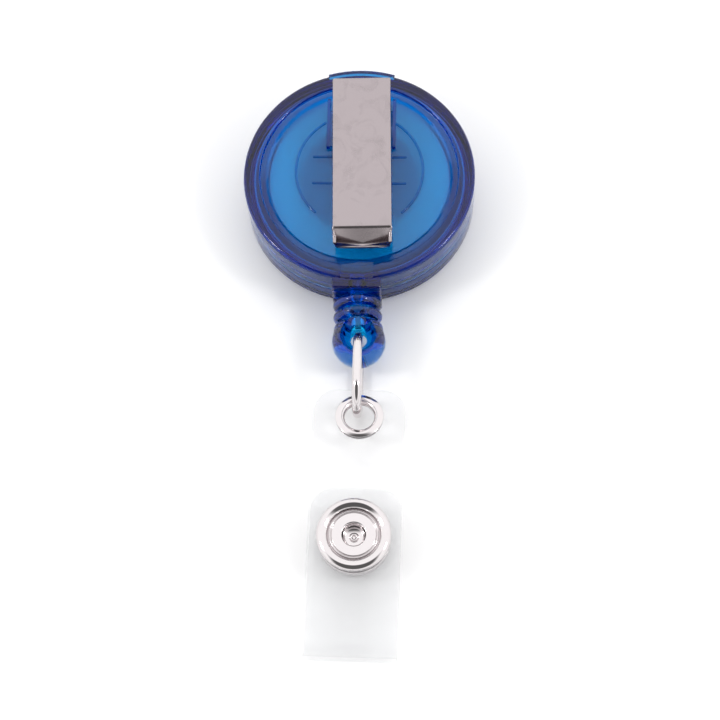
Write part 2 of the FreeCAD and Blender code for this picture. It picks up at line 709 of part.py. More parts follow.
# ---------------------------------------------------------------- end fitting
BALL = "-size.ball_distance"
neck = rod("fitting_neck", "size.neck_radius", BALL, "0", "Y")
ball = doc.addObject("Part::Sphere", "fitting_ball")
tie(ball, Radius="size.ball_radius")
put(ball, "0", BALL, "0")
ribs = [
    torus(f"neck_rib_{number}", "size.rib_centre", "size.rib_radius",
          ("0", f"-size.rib_first - {number} * size.rib_pitch", "0"), ALONG["Y"])
    for number in range(3)
]
fitting_solid = join("fitting_solid", neck, ball, *ribs)
BALL_TOP = f"(size.ball_radius + {PAST})"
ball_hole = rod("ball_hole", "size.ball_hole", f"-{BALL_TOP}", BALL_TOP, "Z", ("0", BALL))
upper_mouth = funnel("upper_mouth", "size.ball_hole", "size.ball_mouth", "size.ball_waist",
                     "size.ball_mouth_height", ("0", BALL))
upper_clear = rod("upper_clear", "size.ball_mouth", "size.ball_mouth_height", BALL_TOP, "Z", ("0", BALL))
lower_mouth = funnel("lower_mouth", "size.ball_mouth", "size.ball_hole", "-size.ball_mouth_height",
                     "-size.ball_waist", ("0", BALL))
lower_clear = rod("lower_clear", "size.ball_mouth", f"-{BALL_TOP}", "-size.ball_mouth_height", "Z",
                  ("0", BALL))
passage = rod("cord_passage_bore", "size.cord_passage", f"-size.knot_room_start - {PAST}", PAST, "Y")
knot_room = rod("knot_room_bore", "size.knot_room", BALL, "-size.knot_room_start", "Y")
on_fitting(
    cut("end_fitting_cut", fitting_solid, ball_hole, upper_mouth, upper_clear, lower_mouth, lower_clear,
        passage, knot_room),
    "end_fitting",
)

# ---------------------------------------------------------------- ring
RING_BEND = "((size.ring_width - size.ring_wire) / 2)"
RING_STRAIGHT = "((size.ring_length - size.ring_width) / 2)"
TOWARDS_REEL = Rotation(Vector(0, 0, -1), Vector(0, 1, 0), Vector(1, 0, 0), "XYZ")
TOWARDS_STRAP = Rotation(Vector(0, 0, 1), Vector(0, -1, 0), Vector(1, 0, 0), "XYZ")
ring_near = torus("ring_near_end", RING_BEND, "size.ring_wire / 2", ("0", RING_STRAIGHT, "0"), TOWARDS_REEL)
ring_far = torus("ring_far_end", RING_BEND, "size.ring_wire / 2", ("0", f"-{RING_STRAIGHT}", "0"),
                 TOWARDS_STRAP)
for end in (ring_near, ring_far):
    end.Angle3 = 180
ring_sides = [
    rod(f"ring_{name}_side", "size.ring_wire / 2", f"-{RING_STRAIGHT}", RING_STRAIGHT, "Y",
        ("0", f"{sign}{RING_BEND}"))
    for name, sign in (("upper", ""), ("lower", "-"))
]
ring = join("ring_joined", ring_near, ring_far, *ring_sides)
put(ring, "size.ball_distance * sin(size.fitting_lean)", f"-{RING_MIDDLE}", RING_HEIGHT)
piece(ring, "ring")

# ---------------------------------------------------------------- strap
strap_half = "size.strap_width / 2"


def rounded_plan(name, start, end):
    """A tall block whose two corners at its end along Y are rounded, for trimming a layer of strap."""
    tall = (f"-{PAST}", "size.case_thickness")
    inset = f"({end} - size.strap_corner)"
    shapes = [
        block(f"{name}_long", (f"-{strap_half}", strap_half), (start, inset), tall),
        block(f"{name}_tip", (f"-{strap_half} + size.strap_corner", f"{strap_half} - size.strap_corner"),
              (inset, end), tall),
    ]
    for side_name, sign in (("left", "-"), ("right", "")):
        shapes.append(rod(f"{name}_{side_name}", "size.strap_corner", tall[0], tall[1], "Z",
                          (f"{sign}({strap_half} - size.strap_corner)", inset)))
    return join(name, *shapes)


FOLD = "-size.fold_distance"
SNAP = "-size.snap_distance"
layer = bent("strap_layer", [
    ("size.strap_margin", "size.strap_top_height + size.strap_thickness / 2"),
    ("-size.strap_bend", STRAP_FACE),
    (FOLD, STRAP_FACE),
    (FOLD, STRAP_BACK),
    ("-size.strap_bend", STRAP_BACK),
    ("size.strap_margin", "size.strap_top_height - size.strap_thickness / 2"),
], "size.strap_width")
strap_plan = rounded_plan("strap_plan", f"{FOLD} - {PAST}", "size.strap_margin")
trimmed_layer = overlap("strap_trimmed", layer, strap_plan)
eyelet_hole = rod("strap_eyelet_hole", "size.eyelet_bore + size.eyelet_wall + size.eyelet_play", f"-{PAST}",
                  "size.case_thickness", "Z", ("0", "0"))
snap_hole = rod("strap_snap_hole", "size.barrel_radius + size.barrel_play", f"-{PAST}", "size.case_thickness",
                "Z", ("0", SNAP))
on_strap(cut("strap_front_cut", trimmed_layer, eyelet_hole, snap_hole), "strap_front")

fold_outer = rod("fold_outer", f"{FOLD_RADIUS} + size.strap_thickness / 2", f"-{strap_half}", strap_half, "X",
                 (FOLD, f"size.tail_level + {FOLD_RADIUS}"))
fold_inner = rod("fold_inner", f"{FOLD_RADIUS} - size.strap_thickness / 2", f"-{strap_half} - {PAST}",
                 f"{strap_half} + {PAST}", "X", (FOLD, f"size.tail_level + {FOLD_RADIUS}"))
fold_far_half = block("fold_far_half", (f"-{strap_half} - {PAST}", f"{strap_half} + {PAST}"),
                      (FOLD, f"{FOLD} + {FOLD_RADIUS} + {PAST}"), (f"-{PAST}", "size.case_thickness"))
on_strap(cut("strap_fold_cut", fold_outer, fold_inner, fold_far_half), "strap_fold")

tail_layer = block("tail_layer", (f"-{strap_half}", strap_half), (FOLD, "-size.tail_end"),
                   (TAIL_BACK, TAIL_FACE))
tail_plan = rounded_plan("tail_plan", f"{FOLD} - {PAST}", "-size.tail_end")
tail_trimmed = overlap("tail_trimmed", tail_layer, tail_plan)
tail_hole = rod("tail_snap_hole", "size.post_barrel + size.barrel_play", f"-{PAST}",
                "size.case_thickness", "Z", ("0", SNAP))
on_strap(cut("strap_tail_cut", tail_trimmed, tail_hole), "strap_tail")

# ---------------------------------------------------------------- eyelet
HALF_SHEET = "(size.strap_thickness / 2 + size.press_clearance)"
FLANGE_TOP = f"({HALF_SHEET} + size.eyelet_wall)"
eyelet_barrel = turned("eyelet_barrel", [
    ("size.eyelet_bore", f"-{FLANGE_TOP}"),
    ("size.eyelet_flange - size.eyelet_wall / 2", f"-{FLANGE_TOP}"),
    ("size.eyelet_flange", f"-{HALF_SHEET} - size.eyelet_wall / 2"),
    ("size.eyelet_flange", f"-{HALF_SHEET}"),
    ("size.eyelet_bore + size.eyelet_wall", f"-{HALF_SHEET}"),
    ("size.eyelet_bore + size.eyelet_wall", HALF_SHEET),
    ("size.eyelet_bore", HALF_SHEET),
])
eyelet_roll = turned("eyelet_roll", [
    ("size.eyelet_bore", HALF_SHEET),
    ("size.eyelet_flange", HALF_SHEET),
    ("size.eyelet_flange", f"{HALF_SHEET} + size.eyelet_wall / 2"),
    ("size.eyelet_flange - size.eyelet_wall / 2", FLANGE_TOP),
    ("size.eyelet_bore + size.eyelet_wall / 2", FLANGE_TOP),
    ("size.eyelet_bore", f"{HALF_SHEET} + size.eyelet_wall / 2"),
])
for half in (eyelet_barrel, eyelet_roll):
    half.Placement = FreeCAD.Placement(Vector(), Rotation(Vector(-1, 0, 0), 1))
    put(half, "0", "0", EYELET_HEIGHT)
    half.setExpression("Placement.Rotation.Angle", STRAP_TILT)
on_strap(join("eyelet_joined", eyelet_barrel, eyelet_roll), "eyelet")

# ---------------------------------------------------------------- snap fastener
SNAP_PLACE = ("0", SNAP)


def at_snap(body, height):
    return put(body, *SNAP_PLACE, height)


BARREL_DEPTH = "(size.strap_thickness + size.socket_sheet + size.barrel_proud)"
cap_turned = at_snap(turned("cap_turned", [
    ("0", f"-{BARREL_DEPTH}"),
    ("size.barrel_radius", f"-{BARREL_DEPTH}"),
    ("size.barrel_radius", "0"),
    ("size.cap_bead_centre", "0"),
    ("size.cap_bead_centre", "size.cap_floor"),
    ("size.cap_disc", "size.cap_floor"),
    ("size.cap_disc", "size.cap_disc_height"),
    ("size.barrel_bore", "size.cap_disc_height"),
    ("size.barrel_bore", f"-{BARREL_DEPTH} / 2"),
    ("0", f"-{BARREL_DEPTH} + size.barrel_end"),
]), STRAP_FACE)
cap_bead = torus("cap_bead_roll", "size.cap_bead_centre", "size.cap_bead",
                 (*SNAP_PLACE, f"{STRAP_FACE} + size.cap_bead"))
on_strap(join("snap_cap_joined", cap_turned, cap_bead), "snap_cap")

SOCKET_INSIDE = "(size.socket_outer - size.socket_wall)"
SOCKET_MOUTH = "(size.stud_head + size.socket_play)"
socket_plate = at_snap(turned("socket_plate", [
    ("size.barrel_radius + size.barrel_play", "0"),
    ("size.barrel_radius + size.barrel_play", "-size.socket_sheet"),
    ("size.socket_outer", "-size.socket_sheet"),
    ("size.socket_outer", "0"),
]), STRAP_BACK)
socket_skirt = at_snap(turned("socket_skirt", [
    (SOCKET_INSIDE, "-size.socket_sheet"),
    (SOCKET_INSIDE, "-size.socket_depth + size.socket_sheet"),
    (SOCKET_MOUTH, "-size.socket_depth + size.socket_sheet"),
    (SOCKET_MOUTH, "-size.socket_depth"),
    ("size.socket_outer - size.socket_sheet", "-size.socket_depth"),
    ("size.socket_outer", "-size.socket_depth + size.socket_sheet"),
    ("size.socket_outer", "-size.socket_sheet"),
]), STRAP_BACK)
on_strap(join("snap_socket_joined", socket_plate, socket_skirt), "snap_socket")

SPRING_HEIGHT = f"{STRAP_BACK} - size.socket_depth + size.socket_sheet"
spring_ring = torus(
    "snap_spring_torus", "size.stud_head + size.snap_wire * 2", "size.snap_wire",
    (*SNAP_PLACE, f"{SPRING_HEIGHT} + size.snap_wire + size.press_clearance"))
spring_trim = block("snap_spring_gap", ("0", "size.socket_outer"),
                    (f"{SNAP} - size.snap_wire_gap / 2", f"{SNAP} + size.snap_wire_gap / 2"),
                    ("0", STRAP_BACK))
on_strap(cut("snap_spring_cut", spring_ring, spring_trim), "snap_spring")

stud_turned = at_snap(turned("stud_turned", [
    ("size.post_barrel + size.barrel_play", "0"),
    ("size.stud_flange", "0"),
    ("size.stud_flange", "size.stud_sheet"),
    (STUD_NECK, "size.stud_sheet"),
    (STUD_NECK, STUD_HEAD_LOW),
    ("size.stud_head", f"{STUD_HEAD_LOW} + size.stud_sheet"),
    ("size.stud_head", f"{STUD_HEIGHT} - size.stud_sheet"),
    (STUD_NECK, STUD_HEIGHT),
    ("size.post_barrel + size.barrel_play", STUD_HEIGHT),
]), TAIL_FACE)
stud_rim = torus("stud_rim", "size.stud_flange - size.stud_sheet / 2", "size.stud_sheet / 2",
                 (*SNAP_PLACE, f"{TAIL_FACE} + size.stud_sheet"))
on_strap(join("snap_stud_joined", stud_turned, stud_rim), "snap_stud")

POST_LENGTH = f"(size.strap_thickness + {STUD_HEIGHT} - size.post_short)"
post_turned = at_snap(turned("post_turned", [
    ("0", "-size.post_sheet"),
    ("size.post_flange - size.post_sheet / 2", "-size.post_sheet"),
    ("size.post_flange", "-size.post_sheet / 2"),
    ("size.post_flange", "0"),
    ("size.post_barrel", "0"),
    ("size.post_barrel", POST_LENGTH),
    ("0", POST_LENGTH),
]), TAIL_BACK)
post_dimple = doc.addObject("Part::Sphere", "post_dimple")
tie(post_dimple, Radius="size.post_barrel")
at_snap(post_dimple, f"{TAIL_BACK} - size.post_sheet - size.post_barrel / 2")
on_strap(cut("snap_post_cut", post_turned, post_dimple), "snap_post")

# ---------------------------------------------------------------- check and write
doc.recompute()
for obj in doc.Objects:
    if "Invalid" in obj.State or "Error" in obj.State:
        raise RuntimeError(f"{obj.Name} failed: {obj.State}")
for obj in pieces:
    if obj.Shape.isNull() or not obj.Shape.isValid():
        raise RuntimeError(f"{obj.Label} has no valid shape")
os.makedirs("parts", exist_ok=True)
for obj in pieces:
    obj.Shape.exportStep(f"parts/{obj.Label}.step")
    box = obj.Shape.BoundBox
    print(f"{obj.Label:18s} solids {len(obj.Shape.Solids)}  volume {obj.Shape.Volume:9.3f}",
          f" x {box.XMin:7.2f} {box.XMax:7.2f}  y {box.YMin:7.2f} {box.YMax:7.2f}",
          f" z {box.ZMin:6.2f} {box.ZMax:6.2f}")
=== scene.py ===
# %% [markdown]
# # A retractable badge reel, in clear blue plastic
# The reel is a round case of two clear blue shells with a white spool inside. A steel clip holds it to a
# belt, and a cord ends in a ribbed fitting with a ball, a wire ring and a clear strap that snaps shut.
# The CAD model comes first as a fixed frame: it says where each piece sits and how it moves. Everything
# that follows is drawn round it, in metres, in the same place.
# %% Load the frame
import math

import bmesh
import bpy
import numpy as np
from mathutils import Matrix, Vector


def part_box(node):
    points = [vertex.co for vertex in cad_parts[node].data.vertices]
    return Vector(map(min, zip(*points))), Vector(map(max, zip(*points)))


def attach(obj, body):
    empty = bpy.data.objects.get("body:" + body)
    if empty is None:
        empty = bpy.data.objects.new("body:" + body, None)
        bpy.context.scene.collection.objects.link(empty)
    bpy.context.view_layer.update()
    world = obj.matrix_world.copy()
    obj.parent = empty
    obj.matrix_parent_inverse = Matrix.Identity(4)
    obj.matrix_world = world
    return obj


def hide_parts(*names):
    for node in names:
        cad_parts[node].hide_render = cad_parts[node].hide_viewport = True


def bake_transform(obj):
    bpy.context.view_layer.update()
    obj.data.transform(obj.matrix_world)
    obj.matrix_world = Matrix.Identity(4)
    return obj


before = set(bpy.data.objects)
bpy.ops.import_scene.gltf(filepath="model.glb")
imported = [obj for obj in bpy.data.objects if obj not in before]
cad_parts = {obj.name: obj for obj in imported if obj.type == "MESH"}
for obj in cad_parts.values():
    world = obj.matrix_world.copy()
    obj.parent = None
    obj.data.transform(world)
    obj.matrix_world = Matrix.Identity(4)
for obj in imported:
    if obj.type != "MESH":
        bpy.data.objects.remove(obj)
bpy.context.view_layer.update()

MM = 0.001

# %% [markdown]
# ## Camera
# A long lens at about a quarter of a metre keeps the case round and the strap straight. The camera looks
# down steeply from the strap's end, turned a few degrees, and leans a little so that the reel stands up.
# %% Camera
CAMERA_ELEVATION = math.radians(68.7)
CAMERA_AZIMUTH = math.radians(6.08)
CAMERA_ROLL = math.radians(-5.12)
CAMERA_DISTANCE = 275.1 * MM
CAMERA_TARGET = Vector((0.41, -24.32, 0.0)) * MM

back = Vector((math.sin(CAMERA_AZIMUTH) * math.cos(CAMERA_ELEVATION),
               -math.cos(CAMERA_AZIMUTH) * math.cos(CAMERA_ELEVATION), math.sin(CAMERA_ELEVATION)))
level = Vector((math.cos(CAMERA_AZIMUTH), math.sin(CAMERA_AZIMUTH), 0.0))
upright = back.cross(level)
right = level * math.cos(CAMERA_ROLL) + upright * math.sin(CAMERA_ROLL)
up = upright * math.cos(CAMERA_ROLL) - level * math.sin(CAMERA_ROLL)
camera_data = bpy.data.cameras.new("camera")
camera_data.lens = 100.0
camera_data.sensor_width = 36.0
camera_data.clip_start = 0.01
camera = bpy.data.objects.new("camera", camera_data)
camera.matrix_world = Matrix.Translation(CAMERA_TARGET + back * CAMERA_DISTANCE) @ Matrix(
    (right, up, back)).transposed().to_4x4()
bpy.context.scene.collection.objects.link(camera)
bpy.context.scene.camera = camera
print("camera at", [round(value / MM, 1) for value in camera.matrix_world.translation], "mm")

# %% [markdown]
# ## From a grid of points to a mesh
# Every new piece is a surface with two parameters. A function works out all its points at once as a numpy
# array with one row for each step along the first parameter and one column for each step along the
# second. One helper then joins neighbouring points with quads. Where a row shrinks to a point, as at a
# pole, the doubles are merged, and where a direction comes round on itself its ends are joined.
# %% Meshing helper
SHARP_ANGLE = math.radians(38.0)
MERGE_DISTANCE = 2e-7


def finish_mesh(mesh, sharp=SHARP_ANGLE):
    """Merges doubled points, points the faces outwards and shades smoothly up to the sharp angle."""
    work = bmesh.new()
    work.from_mesh(mesh)
    bmesh.ops.remove_doubles(work, verts=work.verts, dist=MERGE_DISTANCE)
    bmesh.ops.dissolve_degenerate(work, edges=work.edges, dist=MERGE_DISTANCE)
    bmesh.ops.recalc_face_normals(work, faces=work.faces)
    work.to_mesh(mesh)
    work.free()
    mesh.shade_smooth()
    mesh.set_sharp_from_angle(angle=sharp)


def surface(name, grid, wrap_rows=True, wrap_columns=True, sharp=SHARP_ANGLE):
    """A mesh object from a (rows, columns, 3) array of points in millimetres. Each cell of the grid is one
    quad, and a wrapped direction joins its last line of points to its first."""
    rows, columns = grid.shape[:2]
    row, column = np.meshgrid(np.arange(rows if wrap_rows else rows - 1),
                              np.arange(columns if wrap_columns else columns - 1), indexing="ij")
    row, column = row.ravel(), column.ravel()
    below, beside = (row + 1) % rows, (column + 1) % columns
    quads = np.stack([row * columns + column, row * columns + beside,
                      below * columns + beside, below * columns + column], axis=1)
    mesh = bpy.data.meshes.new(name)
    mesh.from_pydata((grid.reshape(-1, 3) * MM).tolist(), [], quads.tolist())
    finish_mesh(mesh, sharp)
    piece = bpy.data.objects.new(name, mesh)
    bpy.context.scene.collection.objects.link(piece)
    return piece


# %% [markdown]
# ## Rounded outlines
# Moulded plastic and pressed metal have no knife edges. An outline is given as a few corners, each with a
# radius, and every corner becomes a small arc that touches both of its edges.
# %% Rounded outline helper
def rounded(corners, steps=5, closed=True):
    """Replaces each corner (x, y, radius) of an outline by an arc. The arc starts where a circle of that
    radius touches one edge and ends where it touches the other: at radius / tan(half the corner's angle)
    from the corner, but never past 0.49 of the shorter edge. Its points turn evenly round the centre."""
    table = np.asarray(corners, dtype=float)
    corner, radius = table[:, :2], table[:, 2]
    before, after = np.roll(corner, 1, axis=0) - corner, np.roll(corner, -1, axis=0) - corner
    reach = np.minimum(np.linalg.norm(before, axis=1), np.linalg.norm(after, axis=1))
    before = before / np.linalg.norm(before, axis=1)[:, None]
    after = after / np.linalg.norm(after, axis=1)[:, None]
    half = np.arccos(np.clip((before * after).sum(axis=1), -1, 1)) / 2
    touch = np.minimum(radius / np.maximum(np.tan(half), 1e-6), 0.49 * reach)
    if not closed:
        touch[[0, -1]] = 0.0
    turn = np.maximum(math.pi - 2 * half, 1e-4)[:, None]
    share = np.linspace(0, 1, steps + 1)[None, :]
    first, last = before * touch[:, None], after * touch[:, None]
    middle = (first + last) / np.maximum(2 * np.cos(half)[:, None] ** 2, 1e-9)
    bow = (np.sin((1 - share) * turn)[..., None] * (first - middle)[:, None]
           + np.sin(share * turn)[..., None] * (last - middle)[:, None]) / np.sin(turn)[..., None]
    points = corner[:, None] + middle[:, None] + bow
    if not closed:
        return np.concatenate([corner[:1], points[1:-1].reshape(-1, 2), corner[-1:]])
    return points.reshape(-1, 2)


def capped(grid):
    """Adds a row at each end that is shrunk to the end row's middle, which closes the surface there."""
    first, last = (row.mean(axis=1, keepdims=True) + 0 * row for row in (grid[:1], grid[-1:]))
    return np.concatenate([first, grid, last])


def turned(name, outline, steps=192, sharp=SHARP_ANGLE):
    """A closed outline of (radius, height) points turned round the Z axis: x = radius cos(angle),
    y = radius sin(angle), z = height."""
    angle = np.linspace(0, 2 * math.pi, steps, endpoint=False)
    radius, height = np.maximum(outline[:, :1], 0.0), outline[:, 1:]
    return surface(name, np.stack([radius * np.cos(angle), radius * np.sin(angle),
                                   height * np.ones_like(angle)], axis=-1), sharp=sharp)


def rounded_box(name, low, high, edge, steps=4):
    """A box with rounded edges. Directions run over a sphere one eighth at a time, and each eighth is
    moved to its own corner: point = corner centre + edge radius x direction. The flat faces are the gaps
    that open between the eighths."""
    low, high = np.asarray(low, float), np.asarray(high, float)
    middle, half = (low + high) / 2, (high - low) / 2 - edge
    quarter = np.linspace(0, math.pi / 2, steps + 1)
    around = (np.arange(4)[:, None] * math.pi / 2 + quarter).ravel()
    side_x, side_y = np.repeat([1, -1, -1, 1], steps + 1), np.repeat([1, 1, -1, -1], steps + 1)
    rise = np.concatenate([quarter - math.pi / 2, quarter])[:, None]
    side_z = np.repeat([-1, 1], steps + 1)[:, None]
    grid = np.stack([side_x * half[0] + edge * np.cos(rise) * np.cos(around),
                     side_y * half[1] + edge * np.cos(rise) * np.sin(around),
                     side_z * half[2] + edge * np.sin(rise) + 0 * around], axis=-1)
    caps = np.zeros((2, 1, grid.shape[1], 3))
    caps[0, ..., 2], caps[1, ..., 2] = grid[0, 0, 2], grid[-1, 0, 2]
    return surface(name, np.concatenate([caps[0], grid, caps[1]]) + middle, wrap_rows=False)


# %% [markdown]
# ## Carrying a section along a path
# Wire, cord and the raised marks on the case are one small section carried along a line. At each point
# the section stands square to the line, on two directions worked out from the line's own direction.
# %% Carried section helper
def directions(path, closed, upward):
    """Unit tangent, side and upward directions at each point of a path, by central differences."""
    if closed:
        tangent = np.roll(path, -1, axis=0) - np.roll(path, 1, axis=0)
    else:
        tangent = np.gradient(path, axis=0)
    tangent /= np.linalg.norm(tangent, axis=1)[:, None]
    side = np.cross(tangent, upward)
    side /= np.linalg.norm(side, axis=1)[:, None]
    return tangent, side, np.cross(side, tangent)


def carried(name, path, section, closed=False, upward=(0, 0, 1), tip=0.0, tip_steps=5):
    """A section of (side, up) points carried along a path. Each open end runs on as half an ellipse of
    length tip: the section shrinks by cos(t) while it moves on by tip x sin(t)."""
    tangent, side, over = directions(path, closed, np.asarray(upward, float))
    scale = np.ones(len(path))
    if not closed:
        swing = np.linspace(math.pi / 2, 0, tip_steps, endpoint=False)
        ahead, behind = (tip * np.sin(swing))[:, None], (tip * np.sin(swing[::-1]))[:, None]
        path = np.concatenate([path[:1] - ahead * tangent[:1], path, path[-1:] + behind * tangent[-1:]])
        side = np.concatenate([np.repeat(side[:1], tip_steps, 0), side, np.repeat(side[-1:], tip_steps, 0)])
        over = np.concatenate([np.repeat(over[:1], tip_steps, 0), over, np.repeat(over[-1:], tip_steps, 0)])
        scale = np.concatenate([np.cos(swing), scale, np.cos(swing[::-1])])
    grid = path[:, None] + scale[:, None, None] * (
        section[None, :, :1] * side[:, None] + section[None, :, 1:] * over[:, None])
    return surface(name, grid, wrap_rows=closed)


def ellipse(width, height, steps=20):
    """An ellipse section: (width cos(t), height sin(t))."""
    angle = np.linspace(0, 2 * math.pi, steps, endpoint=False)
    return np.stack([width * np.cos(angle), height * np.sin(angle)], axis=-1)


# %% [markdown]
# ## Joining and cutting
# The shells have bosses, rails and a notch that a single turned outline can't hold. Boolean modifiers join
# or cut them, the result is kept as the piece's own mesh, and the helper shapes are thrown away. Weighted
# normals let the big flat faces keep their own direction, so reflections stay straight beside a rounded
# edge.
# %% Joining and cutting helpers
def combine(piece, tools, operation):
    """Applies one boolean for each tool and keeps the result as the piece's mesh."""
    for tool in tools:
        modifier = piece.modifiers.new(tool.name, "BOOLEAN")
        modifier.operation = operation
        modifier.solver = "EXACT"
        modifier.object = tool
    evaluated = piece.evaluated_get(bpy.context.evaluated_depsgraph_get())
    mesh = bpy.data.meshes.new_from_object(evaluated)
    piece.modifiers.clear()
    old = piece.data
    piece.data = mesh
    bpy.data.meshes.remove(old)
    for tool in tools:
        bpy.data.objects.remove(tool)
    finish_mesh(mesh)
    return piece


def weigh_normals(piece):
    """Adds weighted normals, which keep flat faces flat beside small roundings."""
    modifier = piece.modifiers.new("weighted_normals", "WEIGHTED_NORMAL")
    modifier.keep_sharp = True
    modifier.weight = 90
    return piece


def place(piece, matrix):
    """Moves the mesh itself, so that the object stays at the origin, unturned."""
    piece.data.transform(matrix)
    piece.data.update()
    return piece


def settle(piece, body, nodes, material):
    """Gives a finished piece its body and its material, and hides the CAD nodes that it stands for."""
    piece.data.materials.clear()
    piece.data.materials.append(material)
    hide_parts(*nodes)
    if body:
        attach(piece, body)
    print(f"{piece.name}: {len(piece.data.polygons)} faces")
    return piece


# %% [markdown]
# ## Shared effects for the materials
# Three small node groups are built once and used in many materials. *Cloudy marks* makes soft patches that
# show as dull spots in a gloss. *Fine streaks* stretches a noise along one direction, like the marks that
# rolling leaves in steel. *Moulded skin* is the faint unevenness of a moulded face.
# %% Node groups
def effect(name, inputs, outputs):
    """A new shader node group with float inputs (name, default) and float outputs."""
    group = bpy.data.node_groups.new(name, "ShaderNodeTree")
    group.interface.new_socket("Vector", in_out="INPUT", socket_type="NodeSocketVector")
    for label, value in inputs:
        socket = group.interface.new_socket(label, in_out="INPUT", socket_type="NodeSocketFloat")
        socket.default_value = value
    for label in outputs:
        group.interface.new_socket(label, in_out="OUTPUT", socket_type="NodeSocketFloat")
    return group, group.nodes.new("NodeGroupInput"), group.nodes.new("NodeGroupOutput")


def node(tree, kind, values=(), **properties):
    """A node with some of its properties and input values set."""
    made = tree.nodes.new(kind)
    for key, value in properties.items():
        setattr(made, key, value)
    for key, value in dict(values).items():
        made.inputs[key].default_value = value
    return made


def cloudy_marks():
    """Patches: a low noise warped by its own detail, cut between two levels: clip((noise - Low) x 4)."""
    group, given, result = effect("cloudy_marks", [("Scale", 400.0), ("Low", 0.5), ("Amount", 0.2)],
                                  ["Mask", "Value"])
    noise = node(group, "ShaderNodeTexNoise", {"Detail": 4.0, "Roughness": 0.62, "Distortion": 1.4})
    shift = node(group, "ShaderNodeMath", operation="SUBTRACT")
    gain = node(group, "ShaderNodeMath", {1: 4.0}, operation="MULTIPLY", use_clamp=True)
    strength = node(group, "ShaderNodeMath", operation="MULTIPLY")
    link = group.links.new
    link(given.outputs["Vector"], noise.inputs["Vector"])
    link(given.outputs["Scale"], noise.inputs["Scale"])
    link(noise.outputs["Fac"], shift.inputs[0])
    link(given.outputs["Low"], shift.inputs[1])
    link(shift.outputs[0], gain.inputs[0])
    link(gain.outputs[0], result.inputs["Mask"])
    link(gain.outputs[0], strength.inputs[0])
    link(given.outputs["Amount"], strength.inputs[1])
    link(strength.outputs[0], result.inputs["Value"])
    return group


def fine_streaks():
    """Streaks along Y: noise read at (x, y / Stretch, z), so that it changes slowly along Y."""
    group, given, result = effect("fine_streaks", [("Scale", 9000.0), ("Stretch", 30.0)], ["Height"])
    split = node(group, "ShaderNodeSeparateXYZ")
    slow = node(group, "ShaderNodeMath", operation="DIVIDE")
    merge = node(group, "ShaderNodeCombineXYZ")
    noise = node(group, "ShaderNodeTexNoise", {"Detail": 3.0, "Roughness": 0.7})
    link = group.links.new
    link(given.outputs["Vector"], split.inputs[0])
    link(split.outputs["X"], merge.inputs["X"])
    link(split.outputs["Y"], slow.inputs[0])
    link(given.outputs["Stretch"], slow.inputs[1])
    link(slow.outputs[0], merge.inputs["Y"])
    link(split.outputs["Z"], merge.inputs["Z"])
    link(merge.outputs[0], noise.inputs["Vector"])
    link(given.outputs["Scale"], noise.inputs["Scale"])
    link(noise.outputs["Fac"], result.inputs["Height"])
    return group


def moulded_skin():
    """A wide soft swell and a fine grain added together: swell + grain x Grain."""
    group, given, result = effect("moulded_skin", [("Swell", 180.0), ("Fine", 5200.0), ("Grain", 0.15)],
                                  ["Height"])
    swell = node(group, "ShaderNodeTexNoise", {"Detail": 1.0})
    grain = node(group, "ShaderNodeTexNoise", {"Detail": 2.0})
    small = node(group, "ShaderNodeMath", operation="MULTIPLY")
    total = node(group, "ShaderNodeMath", operation="ADD")
    link = group.links.new
    for noise, scale in ((swell, "Swell"), (grain, "Fine")):
        link(given.outputs["Vector"], noise.inputs["Vector"])
        link(given.outputs[scale], noise.inputs["Scale"])
    link(grain.outputs["Fac"], small.inputs[0])
    link(given.outputs["Grain"], small.inputs[1])
    link(swell.outputs["Fac"], total.inputs[0])
    link(small.outputs[0], total.inputs[1])
    link(total.outputs[0], result.inputs["Height"])
    return group


MARKS, STREAKS, SKIN = cloudy_marks(), fine_streaks(), moulded_skin()
print("node groups:", [group.name for group in bpy.data.node_groups])


# %% Material helpers
def new_material(name, **values):
    """A material with one Principled shader. values are its own sockets' constants."""
    material = bpy.data.materials.new(name)
    material.use_nodes = True
    tree = material.node_tree
    shader = tree.nodes["Principled BSDF"]
    for key, value in values.items():
        shader.inputs[key.replace("_", " ")].default_value = value
    place_node = tree.nodes.new("ShaderNodeTexCoord")
    return material, tree, shader, place_node.outputs["Object"]


def add_effect(tree, group, vector, **values):
    """Places a shared effect in a material with its own values."""
    placed = tree.nodes.new("ShaderNodeGroup")
    placed.node_tree = group
    tree.links.new(vector, placed.inputs["Vector"])
    for key, value in values.items():
        placed.inputs[key].default_value = value
    return placed


def add_roughness(tree, shader, mask, smooth, dull):
    """Roughness = smooth where the mask is 0 and dull where it is 1."""
    span = node(tree, "ShaderNodeMapRange", {"To Min": smooth, "To Max": dull})
    tree.links.new(mask, span.inputs["Value"])
    tree.links.new(span.outputs[0], shader.inputs["Roughness"])
    return span


def add_bump(tree, shader, height, distance, strength=1.0):
    """A bump of that many metres for the full range of the height."""
    bump = node(tree, "ShaderNodeBump", {"Distance": distance, "Strength": strength})
    tree.links.new(height, bump.inputs["Height"])
    tree.links.new(bump.outputs[0], shader.inputs["Normal"])
    return bump


def add_colour(tree, shader, mask, first, second):
    """Base colour = first where the mask is 0 and second where it is 1."""
    blend = node(tree, "ShaderNodeMix", data_type="RGBA")
    blend.inputs["A"].default_value = (*first, 1.0)
    blend.inputs["B"].default_value = (*second, 1.0)
    tree.links.new(mask, blend.inputs["Factor"])
    tree.links.new(blend.outputs["Result"], shader.inputs["Base Color"])
    return blend
